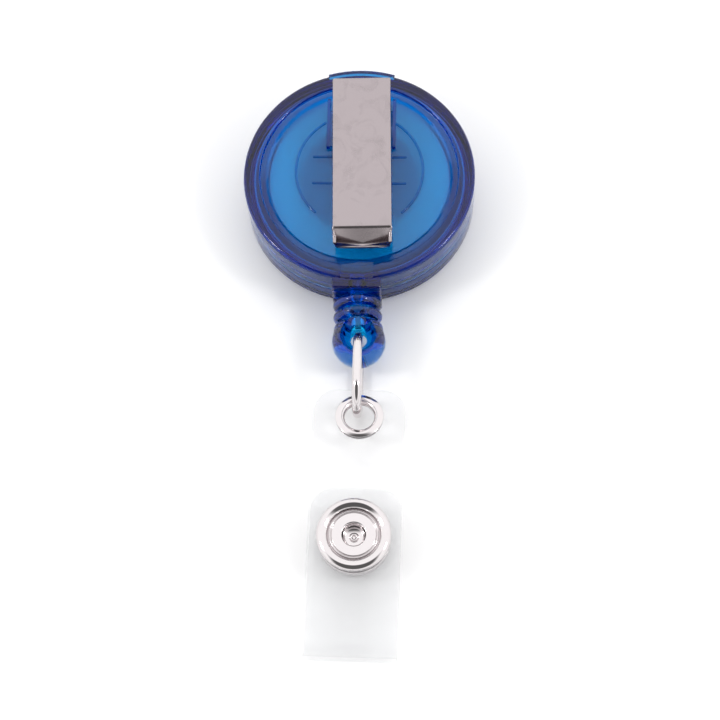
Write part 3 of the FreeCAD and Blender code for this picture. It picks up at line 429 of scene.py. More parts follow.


# %% [markdown]
# ## Clear blue plastic
# The case is clear: what looks azure over the white spool looks navy in the thick rim, because light is
# taken out along its way through the plastic. That is an absorbing volume inside a clear surface. The
# surface itself is polished, with the faint swell of a moulded part and a few dull handling marks. The
# mould left the inside matte, the raised marks carry painted shade, a darker base colour that stands in
# for the shade along their walls, and the rim is tinted, so masks read each point's distance from the
# reel's axis and its height.
# %% Clear blue plastic
def within(tree, value, low, high, soft):
    """1 between the two levels and 0 outside, with soft edges."""
    rise = node(tree, "ShaderNodeMapRange", {"From Min": low - soft, "From Max": low + soft})
    fall = node(tree, "ShaderNodeMapRange", {"From Min": high - soft, "From Max": high + soft,
                                             "To Min": 1.0, "To Max": 0.0})
    both = node(tree, "ShaderNodeMath", operation="MULTIPLY")
    tree.links.new(value, rise.inputs["Value"])
    tree.links.new(value, fall.inputs["Value"])
    tree.links.new(rise.outputs[0], both.inputs[0])
    tree.links.new(fall.outputs[0], both.inputs[1])
    return both.outputs[0]


def case_place(tree, vector):
    """The distance from the reel's axis and the height, read from the piece's own coordinates."""
    split = node(tree, "ShaderNodeSeparateXYZ")
    flat = node(tree, "ShaderNodeCombineXYZ")
    length = node(tree, "ShaderNodeVectorMath", operation="LENGTH")
    tree.links.new(vector, split.inputs[0])
    tree.links.new(split.outputs["X"], flat.inputs["X"])
    tree.links.new(split.outputs["Y"], flat.inputs["Y"])
    tree.links.new(flat.outputs[0], length.inputs[0])
    return length.outputs["Value"], split.outputs["Z"]


def masked(tree, radius, height, radii, heights):
    """1 inside a ring-shaped region round the axis, between two radii and two heights in millimetres."""
    both = node(tree, "ShaderNodeMath", operation="MULTIPLY")
    tree.links.new(within(tree, radius, radii[0] * MM, radii[1] * MM, 0.04 * MM), both.inputs[0])
    tree.links.new(within(tree, height, heights[0] * MM, heights[1] * MM, 0.02 * MM), both.inputs[1])
    return both.outputs[0]


# The second colour is painted shade for the raised marks, a darker base colour in place of the shade along
# their walls.
MATTE, MARK_PAINTED_SHADE, RIM_TINT = 0.34, (0.42, 0.50, 0.72), (0.80, 0.72, 0.66)
INSIDE = ((-1.0, 14.75), (1.0, 6.95))  # radii and heights in millimetres
RAISED = ((-1.0, 12.45), (7.64, 9.0))
THICK = ((13.75, 30.0), (-1.0, 9.0))


def finish_case(material):
    """The mould's inside was left matte, and the raised marks get painted shade: a darker base colour than
    the plate, standing in for the shade along their walls.
    """
    tree, shader = material.node_tree, material.node_tree.nodes["Principled BSDF"]
    vector = [item for item in tree.nodes if item.type == "TEX_COORD"][0].outputs["Object"]
    radius, height = case_place(tree, vector)
    inside = masked(tree, radius, height, *INSIDE)
    gloss = shader.inputs["Roughness"].links[0].from_socket
    dull = node(tree, "ShaderNodeMath", {1: MATTE}, operation="MULTIPLY")
    rougher = node(tree, "ShaderNodeMath", operation="MAXIMUM")
    tree.links.new(inside, dull.inputs[0])
    tree.links.new(dull.outputs[0], rougher.inputs[0])
    tree.links.new(gloss, rougher.inputs[1])
    tree.links.new(rougher.outputs[0], shader.inputs["Roughness"])
    # Painted shade: the raised marks, and the rails inside that radius, get a darker base colour that stands
    # in for the shade along their walls.
    raised = masked(tree, radius, height, *RAISED)
    painted_mark_shade = add_colour(tree, shader, raised, (1.0, 1.0, 1.0), MARK_PAINTED_SHADE)
    thick = masked(tree, radius, height, *THICK)
    rim = node(tree, "ShaderNodeMix", data_type="RGBA")
    rim.inputs["B"].default_value = (*RIM_TINT, 1.0)
    tree.links.new(painted_mark_shade.outputs["Result"], rim.inputs["A"])
    tree.links.new(thick, rim.inputs["Factor"])
    tree.links.new(rim.outputs["Result"], shader.inputs["Base Color"])
    return material


def clear_plastic(name, colour, density, surface_tint):
    material, tree, shader, vector = new_material(name, IOR=1.49, Roughness=0.03)
    shader.inputs["Transmission Weight"].default_value = 1.0
    marks = add_effect(tree, MARKS, vector, Scale=330.0, Low=0.56, Amount=1.0)
    add_roughness(tree, shader, marks.outputs["Mask"], 0.015, 0.075)
    marked = tuple(0.985 * part for part in surface_tint)
    add_colour(tree, shader, marks.outputs["Mask"], surface_tint, marked)
    skin = add_effect(tree, SKIN, vector, Swell=150.0, Fine=4200.0, Grain=0.02)
    add_bump(tree, shader, skin.outputs["Height"], 0.00004)
    volume = node(tree, "ShaderNodeVolumeAbsorption", {"Color": (*colour, 1.0), "Density": density})
    tree.links.new(volume.outputs[0], tree.nodes["Material Output"].inputs["Volume"])
    return material


CASE_BLUE = finish_case(clear_plastic("clear_blue_case", (0.0, 0.84, 0.983), 3400.0, (1.0, 1.0, 1.0)))
FITTING_BLUE = clear_plastic("clear_blue_fitting", (0.0, 0.82, 0.950), 2600.0, (1.0, 1.0, 1.0))
print("clear blue plastic for the case and the fitting")

# %% [markdown]
# ## White spool plastic
# Natural acetal is milky. Its darker middle is painted shade: the base colour is darker inside the drum,
# standing in for the spring's shadow seen through the spool's web, with a soft edge at the drum's wall,
# so the colour follows the distance from the reel's axis.
# %% White spool plastic
SPRING_SHADE = (7.6 * MM, 9.0 * MM)


def spool_plastic():
    material, tree, shader, vector = new_material("natural_acetal", IOR=1.48)
    radius, _ = case_place(tree, vector)
    ring = node(tree, "ShaderNodeMapRange",
                {"From Min": SPRING_SHADE[0], "From Max": SPRING_SHADE[1]}, interpolation_type="SMOOTHSTEP")
    tree.links.new(radius, ring.inputs["Value"])
    # Painted shade: the base colour is darker inside the drum's radius, for the spring's shadow through the
    # web.
    add_colour(tree, shader, ring.outputs[0], (0.45, 0.47, 0.60), (0.95, 0.95, 0.94))
    marks = add_effect(tree, MARKS, vector, Scale=500.0, Low=0.5, Amount=1.0)
    add_roughness(tree, shader, marks.outputs["Mask"], 0.32, 0.48)
    skin = add_effect(tree, SKIN, vector, Swell=900.0, Fine=9000.0, Grain=0.3)
    add_bump(tree, shader, skin.outputs["Height"], 0.00001)
    return material


ACETAL = spool_plastic()

# %% [markdown]
# ## Metals
# The clip is nickel-plated spring steel with a satin face, fine rolling streaks and smudges from handling.
# The ring, the eyelet and the snap are bright nickel. The spring inside is blued steel strip.
# %% Metals
def metal(name, colour, second, smooth, dull, marks_scale, low, streak, bump):
    """A metal whose marks change both its colour and its roughness, with rolling streaks as a bump."""
    material, tree, shader, vector = new_material(name, Metallic=1.0)
    marks = add_effect(tree, MARKS, vector, Scale=marks_scale, Low=low, Amount=1.0)
    add_colour(tree, shader, marks.outputs["Mask"], colour, second)
    add_roughness(tree, shader, marks.outputs["Mask"], smooth, dull)
    streaks = add_effect(tree, STREAKS, vector, Scale=streak, Stretch=25.0)
    add_bump(tree, shader, streaks.outputs["Height"], bump)
    return material


CLIP_NICKEL = metal("satin_nickel", (0.375, 0.33, 0.34), (0.32, 0.28, 0.29), 0.22, 0.34, 260.0, 0.50,
                    9000.0, 0.0000012)
BRIGHT_NICKEL = metal("bright_nickel", (0.67, 0.635, 0.64), (0.60, 0.565, 0.57), 0.05, 0.13, 900.0, 0.6,
                      5000.0, 0.0000008)
SPRING_STEEL = metal("blued_steel", (0.30, 0.31, 0.34), (0.36, 0.31, 0.27), 0.22, 0.38, 700.0, 0.5,
                     12000.0, 0.000001)
print("metals:", CLIP_NICKEL.name, BRIGHT_NICKEL.name, SPRING_STEEL.name)

# %% [markdown]
# ## Clear vinyl and braided cord
# The strap is soft vinyl: clear, a little milky, and not quite smooth. The cord is braided nylon, so its
# bump follows the tube's own map, with two sets of slanting threads that cross.
# %% Vinyl and cord
def vinyl():
    material, tree, shader, vector = new_material("clear_vinyl", IOR=1.5)
    marks = add_effect(tree, MARKS, vector, Scale=140.0, Low=0.48, Amount=1.0)
    add_roughness(tree, shader, marks.outputs["Mask"], 0.12, 0.22)
    add_colour(tree, shader, marks.outputs["Mask"], (0.78, 0.785, 0.80), (0.74, 0.745, 0.76))
    cover = node(tree, "ShaderNodeMapRange", {"To Min": 0.15, "To Max": 0.18})
    tree.links.new(marks.outputs["Mask"], cover.inputs["Value"])
    tree.links.new(cover.outputs[0], shader.inputs["Alpha"])
    skin = add_effect(tree, SKIN, vector, Swell=120.0, Fine=2600.0, Grain=0.03)
    add_bump(tree, shader, skin.outputs["Height"], 0.00012)
    return material


def braid():
    material, tree, shader, _ = new_material("braided_nylon", Roughness=0.55)
    chart = tree.nodes.new("ShaderNodeTexCoord")
    threads = []
    for slant in (1.0, -1.0):
        turn = node(tree, "ShaderNodeMapping", {"Rotation": (0.0, 0.0, slant * math.pi / 4)})
        wave = node(tree, "ShaderNodeTexWave", {"Scale": 2.2, "Distortion": 0.0})
        tree.links.new(chart.outputs["UV"], turn.inputs["Vector"])
        tree.links.new(turn.outputs[0], wave.inputs["Vector"])
        threads.append(wave)
    weave = node(tree, "ShaderNodeMath", operation="MAXIMUM")
    tree.links.new(threads[0].outputs["Fac"], weave.inputs[0])
    tree.links.new(threads[1].outputs["Fac"], weave.inputs[1])
    # Painted shade: the base colour is darker where both threads dip, in the gaps between them, following the
    # same weave as the bump.
    add_colour(tree, shader, weave.outputs[0], (0.55, 0.56, 0.58), (0.82, 0.83, 0.84))
    add_bump(tree, shader, weave.outputs[0], 0.00003)
    return material


VINYL, BRAID = vinyl(), braid()
print("vinyl and cord ready")

# %% [markdown]
# ## The case's front shell
# The front shell is a shallow cup. Its closed outline runs up the outside, over the thin lip that fits
# inside the other shell, down the inside and across the floor, with a short socket for the post in the
# middle, and back under the flat face with its ring groove. Turning it makes the cup. The lower half of
# the cord's outlet is a rounded block joined on, and a round bore goes through it.
# %% Front shell
CASE_RADIUS, CASE_TOP, SEAM = 16.0, 8.45, 4.2
WALL_INSIDE, FRONT_FLOOR, PLATE_TOP, PLATE_UNDER = 14.6, 1.2, 7.6, 6.8
LIP_OUTSIDE, LIP_TOP, SEAM_GAP = 15.25, 5.0, 0.012
POST_RADIUS, SOCKET_RADIUS, SOCKET_TOP = 1.9, 3.0, 2.4
OUTLET_HALF, OUTLET_END, OUTLET_ROOT, OUTLET_BOTTOM, OUTLET_TOP = 3.35, -17.1, -15.0, 0.9, 8.3
BORE_RADIUS = 1.3


def bore(name, start, end, radius, height):
    """A rod along Y that cuts a round bore: (radius cos(t), y, height + radius sin(t))."""
    rod = turned(name, rounded([(0, start, 0), (radius, start, 0), (radius, end, 0), (0, end, 0)], 1), 64)
    return place(rod, Matrix.Translation((0, 0, height * MM)) @ Matrix.Rotation(math.pi / 2, 4, "X"))


front_outline = rounded([
    (0, 0, 0), (13.2, 0, 0.1), (13.26, 0.3, 0.06), (13.74, 0.3, 0.06), (13.8, 0, 0.1), (15.1, 0, 0.5),
    (CASE_RADIUS, 0.9, 0.9), (CASE_RADIUS, SEAM - SEAM_GAP, 0.12), (LIP_OUTSIDE, SEAM - SEAM_GAP, 0.0),
    (LIP_OUTSIDE, LIP_TOP, 0.1), (WALL_INSIDE, LIP_TOP, 0.1), (WALL_INSIDE, FRONT_FLOOR, 0.4),
    (SOCKET_RADIUS, FRONT_FLOOR, 0.15), (SOCKET_RADIUS, SOCKET_TOP, 0.1),
    (POST_RADIUS + 0.03, SOCKET_TOP, 0.1), (POST_RADIUS + 0.03, FRONT_FLOOR, 0.05), (0, FRONT_FLOOR, 0),
])
front_shell = turned("case_front", front_outline, 256)
combine(front_shell, [rounded_box("outlet_lower", (-OUTLET_HALF, OUTLET_END, OUTLET_BOTTOM),
                                  (OUTLET_HALF, OUTLET_ROOT, SEAM - SEAM_GAP), 0.22)], "UNION")
combine(front_shell, [bore("front_bore", 13.6, 18.0, BORE_RADIUS, SEAM)], "DIFFERENCE")
weigh_normals(front_shell)
settle(front_shell, "case", ["front_shell"], CASE_BLUE)

# %% [markdown]
# ## The case's back shell
# The back shell has the broad rim, a small step down to the sunk plate, and a post in the middle that the
# spool turns on. Joined to it are the upper half of the cord's outlet, a low bump on the rim at the clip's
# end, two rails that the clip's tongue slides under, two raised bars and two raised arcs. A notch is cut
# in the rim over the outlet.
# %% Back shell
MARK_HALF_WIDTH, MARK_HEIGHT, MARK_CENTRE = 0.18, 0.2, 0.95
ARC_RADIUS, ARC_START, ARC_SWEEP = 8.8, 124.0, 103.0
BAR_HALF_LENGTH, BAR_SPACING = 6.35, 4.05
RAIL_SHIFT, RAIL_HALF, RAIL_WALL, RAIL_OVER, RAIL_TOP = 0.15, 4.35, 0.45, 0.6, 8.38
RAIL_START, RAIL_END, RAIL_LIP, RAIL_LIP_END = 4.2, 11.7, 0.3, 9.8
BUMP_HALF, BUMP_REACH, BUMP_BOTTOM = 4.65, 0.35, 6.45
NOTCH_HALF, NOTCH_START, NOTCH_LENGTH, NOTCH_DEPTH = 2.25, -15.65, 2.6, 0.5

back_outline = rounded([
    (0, PLATE_TOP, 0), (12.58, PLATE_TOP, 0.12), (12.95, 8.0, 0.1), (13.7, 8.0, 0.12),
    (13.72, CASE_TOP, 0.28), (CASE_RADIUS, CASE_TOP, 0.55), (CASE_RADIUS, SEAM + SEAM_GAP, 0.12),
    (LIP_OUTSIDE + 0.02, SEAM + SEAM_GAP, 0.0), (LIP_OUTSIDE + 0.02, 5.06, 0.05),
    (WALL_INSIDE, 5.06, 0.1), (WALL_INSIDE, PLATE_UNDER, 0.4), (POST_RADIUS, PLATE_UNDER, 0.2),
    (POST_RADIUS, 1.22, 0.1), (0, 1.22, 0),
], steps=6)


def raised_mark(name, x, y):
    """A raised line on the plate: half of an elliptical section stands above it, half is sunk in."""
    path = np.stack([x, y, np.full_like(x, PLATE_TOP)], axis=-1)
    return carried(name, path, ellipse(MARK_HALF_WIDTH, MARK_HEIGHT, 16), tip=MARK_HALF_WIDTH)


def raised_marks():
    """Two bars, y = constant, and two arcs: centre + radius (cos(t), sin(t))."""
    marks = []
    for name, side in (("upper_bar", 1), ("lower_bar", -1)):
        x = np.linspace(-BAR_HALF_LENGTH, BAR_HALF_LENGTH, 24)
        marks.append(raised_mark(name, x, np.full_like(x, MARK_CENTRE + side * BAR_SPACING / 2)))
    for name, start in (("left_arc", ARC_START), ("right_arc", 180 - ARC_START - ARC_SWEEP)):
        angle = np.radians(np.linspace(start, start + ARC_SWEEP, 80))
        marks.append(raised_mark(name, ARC_RADIUS * np.cos(angle), MARK_CENTRE + ARC_RADIUS * np.sin(angle)))
    return marks


def rails():
    """Two walls beside the clip's tongue, each with a lip that leans in over it."""
    made = []
    for name, side in (("left_rail", -1), ("right_rail", 1)):
        inner, outer = side * RAIL_HALF, side * (RAIL_HALF + RAIL_WALL)
        over = side * (RAIL_HALF - RAIL_OVER)
        for part, edge, start, end, low, shift in (
                ("wall", inner, RAIL_START, RAIL_END, PLATE_TOP - MARK_HEIGHT, 0.0),
                ("lip", over, RAIL_START + 0.01, RAIL_LIP_END, RAIL_TOP - RAIL_LIP, 0.004)):
            sides = sorted((edge, outer - side * shift))
            made.append(rounded_box(f"{name}_{part}", (RAIL_SHIFT + sides[0], start, low),
                                    (RAIL_SHIFT + sides[1], end, RAIL_TOP - shift), 0.07))
    return made


def rim_bump():
    """The part of a slightly wider disc that lies within the bump's width: its outline is an arc of the
    disc outside and a chord inside, carried up from the bottom to the top with rounded edges."""
    reach = CASE_RADIUS + BUMP_REACH
    half = math.asin(BUMP_HALF / reach)
    angle = np.linspace(math.pi / 2 - half, math.pi / 2 + half, 33)
    rows = rounded([(0.0, BUMP_BOTTOM, 0), (1.0, BUMP_BOTTOM, 0.3), (1.0, CASE_TOP - 0.004, 0.5),
                    (0.0, CASE_TOP - 0.004, 0)], 5)
    inset = (1.0 - np.minimum(rows[:, 0], 1.0))[:, None]
    outer_radius = reach - np.minimum(inset, 0.6)
    narrow = 1 - np.minimum(inset, 0.25) / BUMP_HALF
    turn = math.pi / 2 + (angle - math.pi / 2) * narrow
    outer = np.stack([outer_radius * np.cos(turn), outer_radius * np.sin(turn),
                      rows[:, 1:] + 0 * turn], axis=-1)
    inner = outer[:, ::-1] * np.array([1.0, 0.0, 1.0]) + np.array([0.0, 14.9, 0.0])
    return surface("rim_bump", capped(np.concatenate([outer, inner], axis=1)), wrap_rows=False)


back_shell = turned("case_back", back_outline, 256)
combine(back_shell, [rounded_box("outlet_upper", (-OUTLET_HALF, OUTLET_END, SEAM + SEAM_GAP),
                                 (OUTLET_HALF, OUTLET_ROOT, OUTLET_TOP), 0.3), rim_bump(), *rails(),
                     *raised_marks()], "UNION")
combine(back_shell, [
    bore("back_bore", 13.6, 18.0, BORE_RADIUS, SEAM),
    rounded_box("rim_notch", (-NOTCH_HALF, NOTCH_START, CASE_TOP - NOTCH_DEPTH),
                (NOTCH_HALF, NOTCH_START + NOTCH_LENGTH, CASE_TOP + 1), 0.12),
    rounded_box("post_slot", (-POST_RADIUS - 1, -0.25, SOCKET_TOP), (POST_RADIUS + 1, 0.25, 6.7), 0.05),
], "DIFFERENCE")
weigh_normals(back_shell)
settle(back_shell, "case", ["back_shell"], CASE_BLUE)

# %% [markdown]
# ## Spool, winding and spring
# The spool has a web on the clip's side, two thin flanges and a drum between them. The cord lies on the
# drum in three layers, so its path is a helix that goes up, steps out and comes down again. Inside the
# drum the spring is a steel strip wound on a spiral whose radius grows evenly with its angle.
# %% Spool
SPOOL_RADIUS, SPOOL_LOW, SPOOL_HIGH = 12.5, 1.75, 6.65
WINDING_LOW, WINDING_HIGH, DRUM_RADIUS, DRUM_INSIDE = 2.35, 6.05, 9.2, 8.4
CORD_RADIUS = 0.35

spool = turned("spool_body", rounded([
    (POST_RADIUS + 0.06, SPOOL_HIGH, 0.1), (SPOOL_RADIUS, SPOOL_HIGH, 0.2), (SPOOL_RADIUS, WINDING_HIGH, 0.2),
    (DRUM_RADIUS, WINDING_HIGH, 0.15), (DRUM_RADIUS, WINDING_LOW, 0.15), (SPOOL_RADIUS, WINDING_LOW, 0.2),
    (SPOOL_RADIUS, SPOOL_LOW, 0.2), (DRUM_INSIDE, SPOOL_LOW, 0.15), (DRUM_INSIDE, WINDING_HIGH, 0.2),
    (POST_RADIUS + 0.06, WINDING_HIGH, 0.1),
]), 192)
settle(spool, "spool", ["spool"], ACETAL)


# %% Cord on the drum
TURNS_PER_LAYER, LAST_LAYER_TURNS, LAYER_STEP = 5.0, 3.8, 0.56
LAYERS = 3


def winding_path(steps_per_turn=56):
    """Radius steps out by one layer every five turns, and height swings between the flanges:
    (r cos(t), r sin(t), z) with r and z read from the layer that the angle t has reached."""
    turns = TURNS_PER_LAYER * (LAYERS - 1) + LAST_LAYER_TURNS
    turn = np.linspace(0, turns, int(turns * steps_per_turn))
    layer = turn / TURNS_PER_LAYER
    whole, part = np.floor(layer), layer - np.floor(layer)
    step_out = np.clip((part - 0.96) / 0.04, 0, 1)
    radius = DRUM_RADIUS + CORD_RADIUS + LAYER_STEP * (whole + step_out)
    swing = np.where(whole % 2 == 0, part, 1 - part)
    height = WINDING_LOW + CORD_RADIUS + swing * (WINDING_HIGH - WINDING_LOW - 2 * CORD_RADIUS)
    angle = math.pi - 2 * math.pi * turn
    return np.stack([radius * np.cos(angle), radius * np.sin(angle), height], axis=-1)


def add_tube_chart(piece, path_length, around):
    """A map for the tube: u runs along it and v round it, both in cord diameters."""
    mesh = piece.data
    chart = mesh.uv_layers.new(name="UVMap")
    loops = np.zeros(len(mesh.loops), dtype=np.int64)
    mesh.loops.foreach_get("vertex_index", loops)
    share = loops // around / max(len(mesh.vertices) // around, 1)
    uv = np.stack([share * path_length / (2 * CORD_RADIUS), (loops % around) / around * math.pi], axis=-1)
    chart.data.foreach_set("uv", uv.ravel())
    return piece


path = winding_path()
wound_length = np.linalg.norm(np.diff(path, axis=0), axis=1).sum()
winding = carried("cord_on_drum", path, ellipse(CORD_RADIUS, CORD_RADIUS, 10), tip=CORD_RADIUS)
add_tube_chart(winding, wound_length, 10)
settle(winding, "spool", ["cord_winding"], BRAID)
print(f"cord wound on the drum: {wound_length:.0f} mm")

# %% [markdown]
# The cord's free stretch leaves the winding on its tangent, bends once and runs straight out through the
# outlet to its knot in the end fitting. It grows as the cord is pulled.
# %% Cord lead
LEAVE = np.array([5.78, -9.63])
KNOT_START = -18.4
lead_corners = [(*LEAVE, 0.0), (0.0, -14.4, 3.5), (0.0, KNOT_START, 0.0)]
lead_plan = rounded(lead_corners, 16, closed=False)
lead_path = np.concatenate([lead_plan, np.full((len(lead_plan), 1), SEAM)], axis=1)
lead = carried("cord_lead_out", lead_path, ellipse(CORD_RADIUS, CORD_RADIUS, 12), tip=0.05)
add_tube_chart(lead, 11.5, 12)
settle(lead, "", ["cord_lead"], BRAID)
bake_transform(lead)

# %% Spiral spring
STRIP_INNER, STRIP_PITCH, STRIP_TURNS, STRIP_THICKNESS = 2.3, 0.39, 12.0, 0.12
STRIP_LOW, STRIP_HIGH = 2.48, 5.98


def spring_path(steps_per_turn=72):
    """radius = inner + pitch x turns, between a straight end in the post's slot and one in the drum."""
    turn = np.linspace(0, STRIP_TURNS, int(STRIP_TURNS * steps_per_turn))
    radius = STRIP_INNER + STRIP_THICKNESS / 2 + STRIP_PITCH * turn
    coil = np.stack([radius * np.cos(2 * math.pi * turn), radius * np.sin(2 * math.pi * turn)], axis=-1)
    inner_end = np.stack([np.linspace(-1.4, STRIP_INNER - 0.4, 8), np.full(8, -0.05)], axis=-1)
    outer_end = np.stack([np.linspace(radius[-1] + 0.5, 8.9, 6), np.full(6, 0.05)], axis=-1)
    return np.concatenate([inner_end, coil, outer_end])


plan = spring_path()
middle_height = (STRIP_LOW + STRIP_HIGH) / 2
spring_line = np.concatenate([plan, np.full((len(plan), 1), middle_height)], axis=1)
strip_section = rounded([(-STRIP_THICKNESS / 2, STRIP_LOW - middle_height, 0.05),
                         (STRIP_THICKNESS / 2, STRIP_LOW - middle_height, 0.05),
                         (STRIP_THICKNESS / 2, STRIP_HIGH - middle_height, 0.05),
                         (-STRIP_THICKNESS / 2, STRIP_HIGH - middle_height, 0.05)], 2)
spring = carried("spring_coil", spring_line, strip_section, tip=0.02, tip_steps=2)
settle(spring, "spool", ["spiral_spring"], SPRING_STEEL)

# %% [markdown]
# ## End fitting
# The fitting is one moulding: a neck with three soft ribs that runs into a ball. Its outline is the
# largest, softened, of the neck's radius, three rib arcs and the ball's arc. A bore for the cord and its
# knot runs up its middle, and a flared hole through the ball takes the wire ring.
# %% End fitting
NECK_RADIUS, RIB_CENTRE, RIB_RADIUS, BALL_RADIUS, BALL_MIDDLE = 2.5, 2.55, 0.78, 3.65, 6.15
RIB_PLACES = np.array([0.85, 2.6, 4.35])
FITTING_START, FITTING_LEAN = 17.15, math.radians(3.35)
PASSAGE_RADIUS, KNOT_ROOM, KNOT_ROOM_START = 0.6, 1.3, 1.25
HOLE_RADIUS, MOUTH_RADIUS, WAIST, MOUTH_HEIGHT = 1.1, 2.5, 0.6, 2.95


def fitting_outline(samples=240, softness=26.0):
    """radius(t) = (neck^n + rib1^n + rib2^n + rib3^n + ball^n)^(1/n), a softened largest of the five."""
    end = BALL_MIDDLE + BALL_RADIUS
    swing = np.linspace(0, 1, samples)
    t = end * (1 - (1 - swing) ** 2)
    arc = np.sqrt(np.clip(RIB_RADIUS ** 2 - (t[:, None] - RIB_PLACES) ** 2, 0, None))
    ribs = np.where(arc > 0, RIB_CENTRE + arc, 0.0)
    ball = np.sqrt(np.clip(BALL_RADIUS ** 2 - (t - BALL_MIDDLE) ** 2, 0, None))
    neck = np.where(t < BALL_MIDDLE, NECK_RADIUS, 0.0)
    radius = ((ribs ** softness).sum(axis=1) + ball ** softness + neck ** softness) ** (1 / softness)
    start = np.sqrt(np.clip(1 - np.clip(1 - t / 0.2, 0, 1) ** 2, 0, 1))
    radius = np.minimum(radius, BALL_RADIUS) - 0.2 * (1 - start)
    inside = np.array([(0.0, BALL_MIDDLE), (KNOT_ROOM, BALL_MIDDLE), (KNOT_ROOM, KNOT_ROOM_START),
                       (PASSAGE_RADIUS, KNOT_ROOM_START), (PASSAGE_RADIUS, 0.0)])
    return np.concatenate([np.stack([radius, t], axis=-1), inside])


def on_fitting(piece):
    """From upright, ball at the top, to lying along -Y with the fitting's lean."""
    return place(piece, Matrix.Translation((0, -FITTING_START * MM, SEAM * MM))
                 @ Matrix.Rotation(FITTING_LEAN, 4, "Z") @ Matrix.Rotation(math.pi / 2, 4, "X"))


fitting = on_fitting(turned("ball_fitting", fitting_outline(), 144))
ball_hole = turned("ball_hole", rounded([
    (0, -5, 0), (MOUTH_RADIUS + 0.6, -5, 0), (MOUTH_RADIUS + 0.1, -MOUTH_HEIGHT, 0.8),
    (HOLE_RADIUS, -WAIST, 0.9), (HOLE_RADIUS, WAIST, 0.9), (MOUTH_RADIUS + 0.1, MOUTH_HEIGHT, 0.8),
    (MOUTH_RADIUS + 0.6, 5, 0), (0, 5, 0)], 6), 96)
ball_place = (BALL_MIDDLE * math.sin(FITTING_LEAN),
              -FITTING_START - BALL_MIDDLE * math.cos(FITTING_LEAN), SEAM)
place(ball_hole, Matrix.Translation(Vector(ball_place) * MM))
combine(fitting, [ball_hole], "DIFFERENCE")
settle(fitting, "end_fitting", ["end_fitting"], FITTING_BLUE)
print("ball at", np.round(ball_place, 2))

# %% [markdown]
# ## Wire ring
# The ring is round wire bent to a long loop: two straight runs and two half circles. It stands on edge,
# through the ball's hole at one end and the strap's eyelet at the other.
# %% Wire ring
RING_WIRE, RING_LENGTH, RING_WIDTH = 1.25, 11.9, 8.6
ring_low, ring_high = (np.array(corner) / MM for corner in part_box("ring"))
ring_middle = (ring_low + ring_high) / 2


def ring_line(steps=40):
    """In the plane x = constant: half circles of one radius round the two ends of the straight runs."""
    bend, straight = (RING_WIDTH - RING_WIRE) / 2, (RING_LENGTH - RING_WIDTH) / 2
    angle = np.linspace(0, math.pi, steps)
    near = np.stack([straight + bend * np.sin(angle), bend * np.cos(angle)], axis=-1)
    far = np.stack([-straight - bend * np.sin(angle), -bend * np.cos(angle)], axis=-1)
    run = np.linspace(straight, -straight, 8)[1:-1]
    lower = np.stack([run, np.full_like(run, -bend)], axis=-1)
    upper = np.stack([-run, np.full_like(run, bend)], axis=-1)
    return np.concatenate([near, lower, far, upper])


line = ring_line()
ring_path = np.stack([np.full(len(line), ring_middle[0]), ring_middle[1] + line[:, 0],
                      ring_middle[2] + line[:, 1]], axis=-1)
ring = carried("wire_ring", ring_path, ellipse(RING_WIRE / 2, RING_WIRE / 2, 32), closed=True,
               upward=(1, 0, 0))
settle(ring, "ring", ["ring"], BRIGHT_NICKEL)

# %% [markdown]
# ## Belt clip
# The clip is one strip of spring steel. Its tongue slides under the rails, it rises through a wide heel, a
# leaning wall and a tight corner, and the long leaf ends in a pressed facet: the middle dips towards the
# case between two small gussets, then turns out in a curved lip. The strip's middle surface is a function
# of the distance along it and the place across it, and a thin rounded section stands off it on both sides.
# %% Belt clip
CLIP_THICKNESS, CLIP_HALF, TONGUE_HALF = 0.4, 4.0, 3.5
CLIP_TOP, CLIP_UNDER, HEEL_Y, CORNER_Y = 12.25, 7.62, 10.43, 12.28
HEEL, CORNER = (11.611, 1.9), (12.965, 0.5)
TONGUE_END, CREASE, LIP_START, CLIP_TIP, LIP_HEIGHT = 3.5, -9.75, -11.3, -11.95, 10.25
CLIP_SHIFT, CLIP_TURN = 0.5, math.radians(1.5)


def clip_centre_line():
    """(y, z) of the strip's middle: tongue, wide heel, leaning wall, tight corner, leaf, facet and lip.
    HEEL and CORNER are where the straight runs would meet, and the radius that rounds each."""
    half = CLIP_THICKNESS / 2
    low, high = CLIP_UNDER + half, CLIP_TOP - half
    tongue = np.stack([np.linspace(TONGUE_END, HEEL_Y - 0.3, 14)[:-1], np.full(13, low)], axis=-1)
    turn = rounded([(HEEL_Y - 0.3, low, 0), (HEEL[0], low, HEEL[1]), (CORNER[0], high, CORNER[1]),
                    (CORNER_Y - 0.2, high, 0)], 12, closed=False)[:-1]
    leaf = rounded([(CORNER_Y - 0.2, CLIP_TOP - half, 0), (CREASE, CLIP_TOP - half, 0.35),
                    (LIP_START, LIP_HEIGHT, 0.5), (CLIP_TIP, LIP_HEIGHT, 0)], 7, closed=False)
    steps = np.concatenate([[0], np.cumsum(np.linalg.norm(np.diff(leaf, axis=0), axis=1))])
    even = np.unique(np.concatenate([np.linspace(0, 20, 22), steps, np.linspace(21.6, steps[-1], 30)]))
    leaf = np.stack([np.interp(even, steps, leaf[:, column]) for column in (0, 1)], axis=-1)
    return np.concatenate([tongue, turn, leaf])


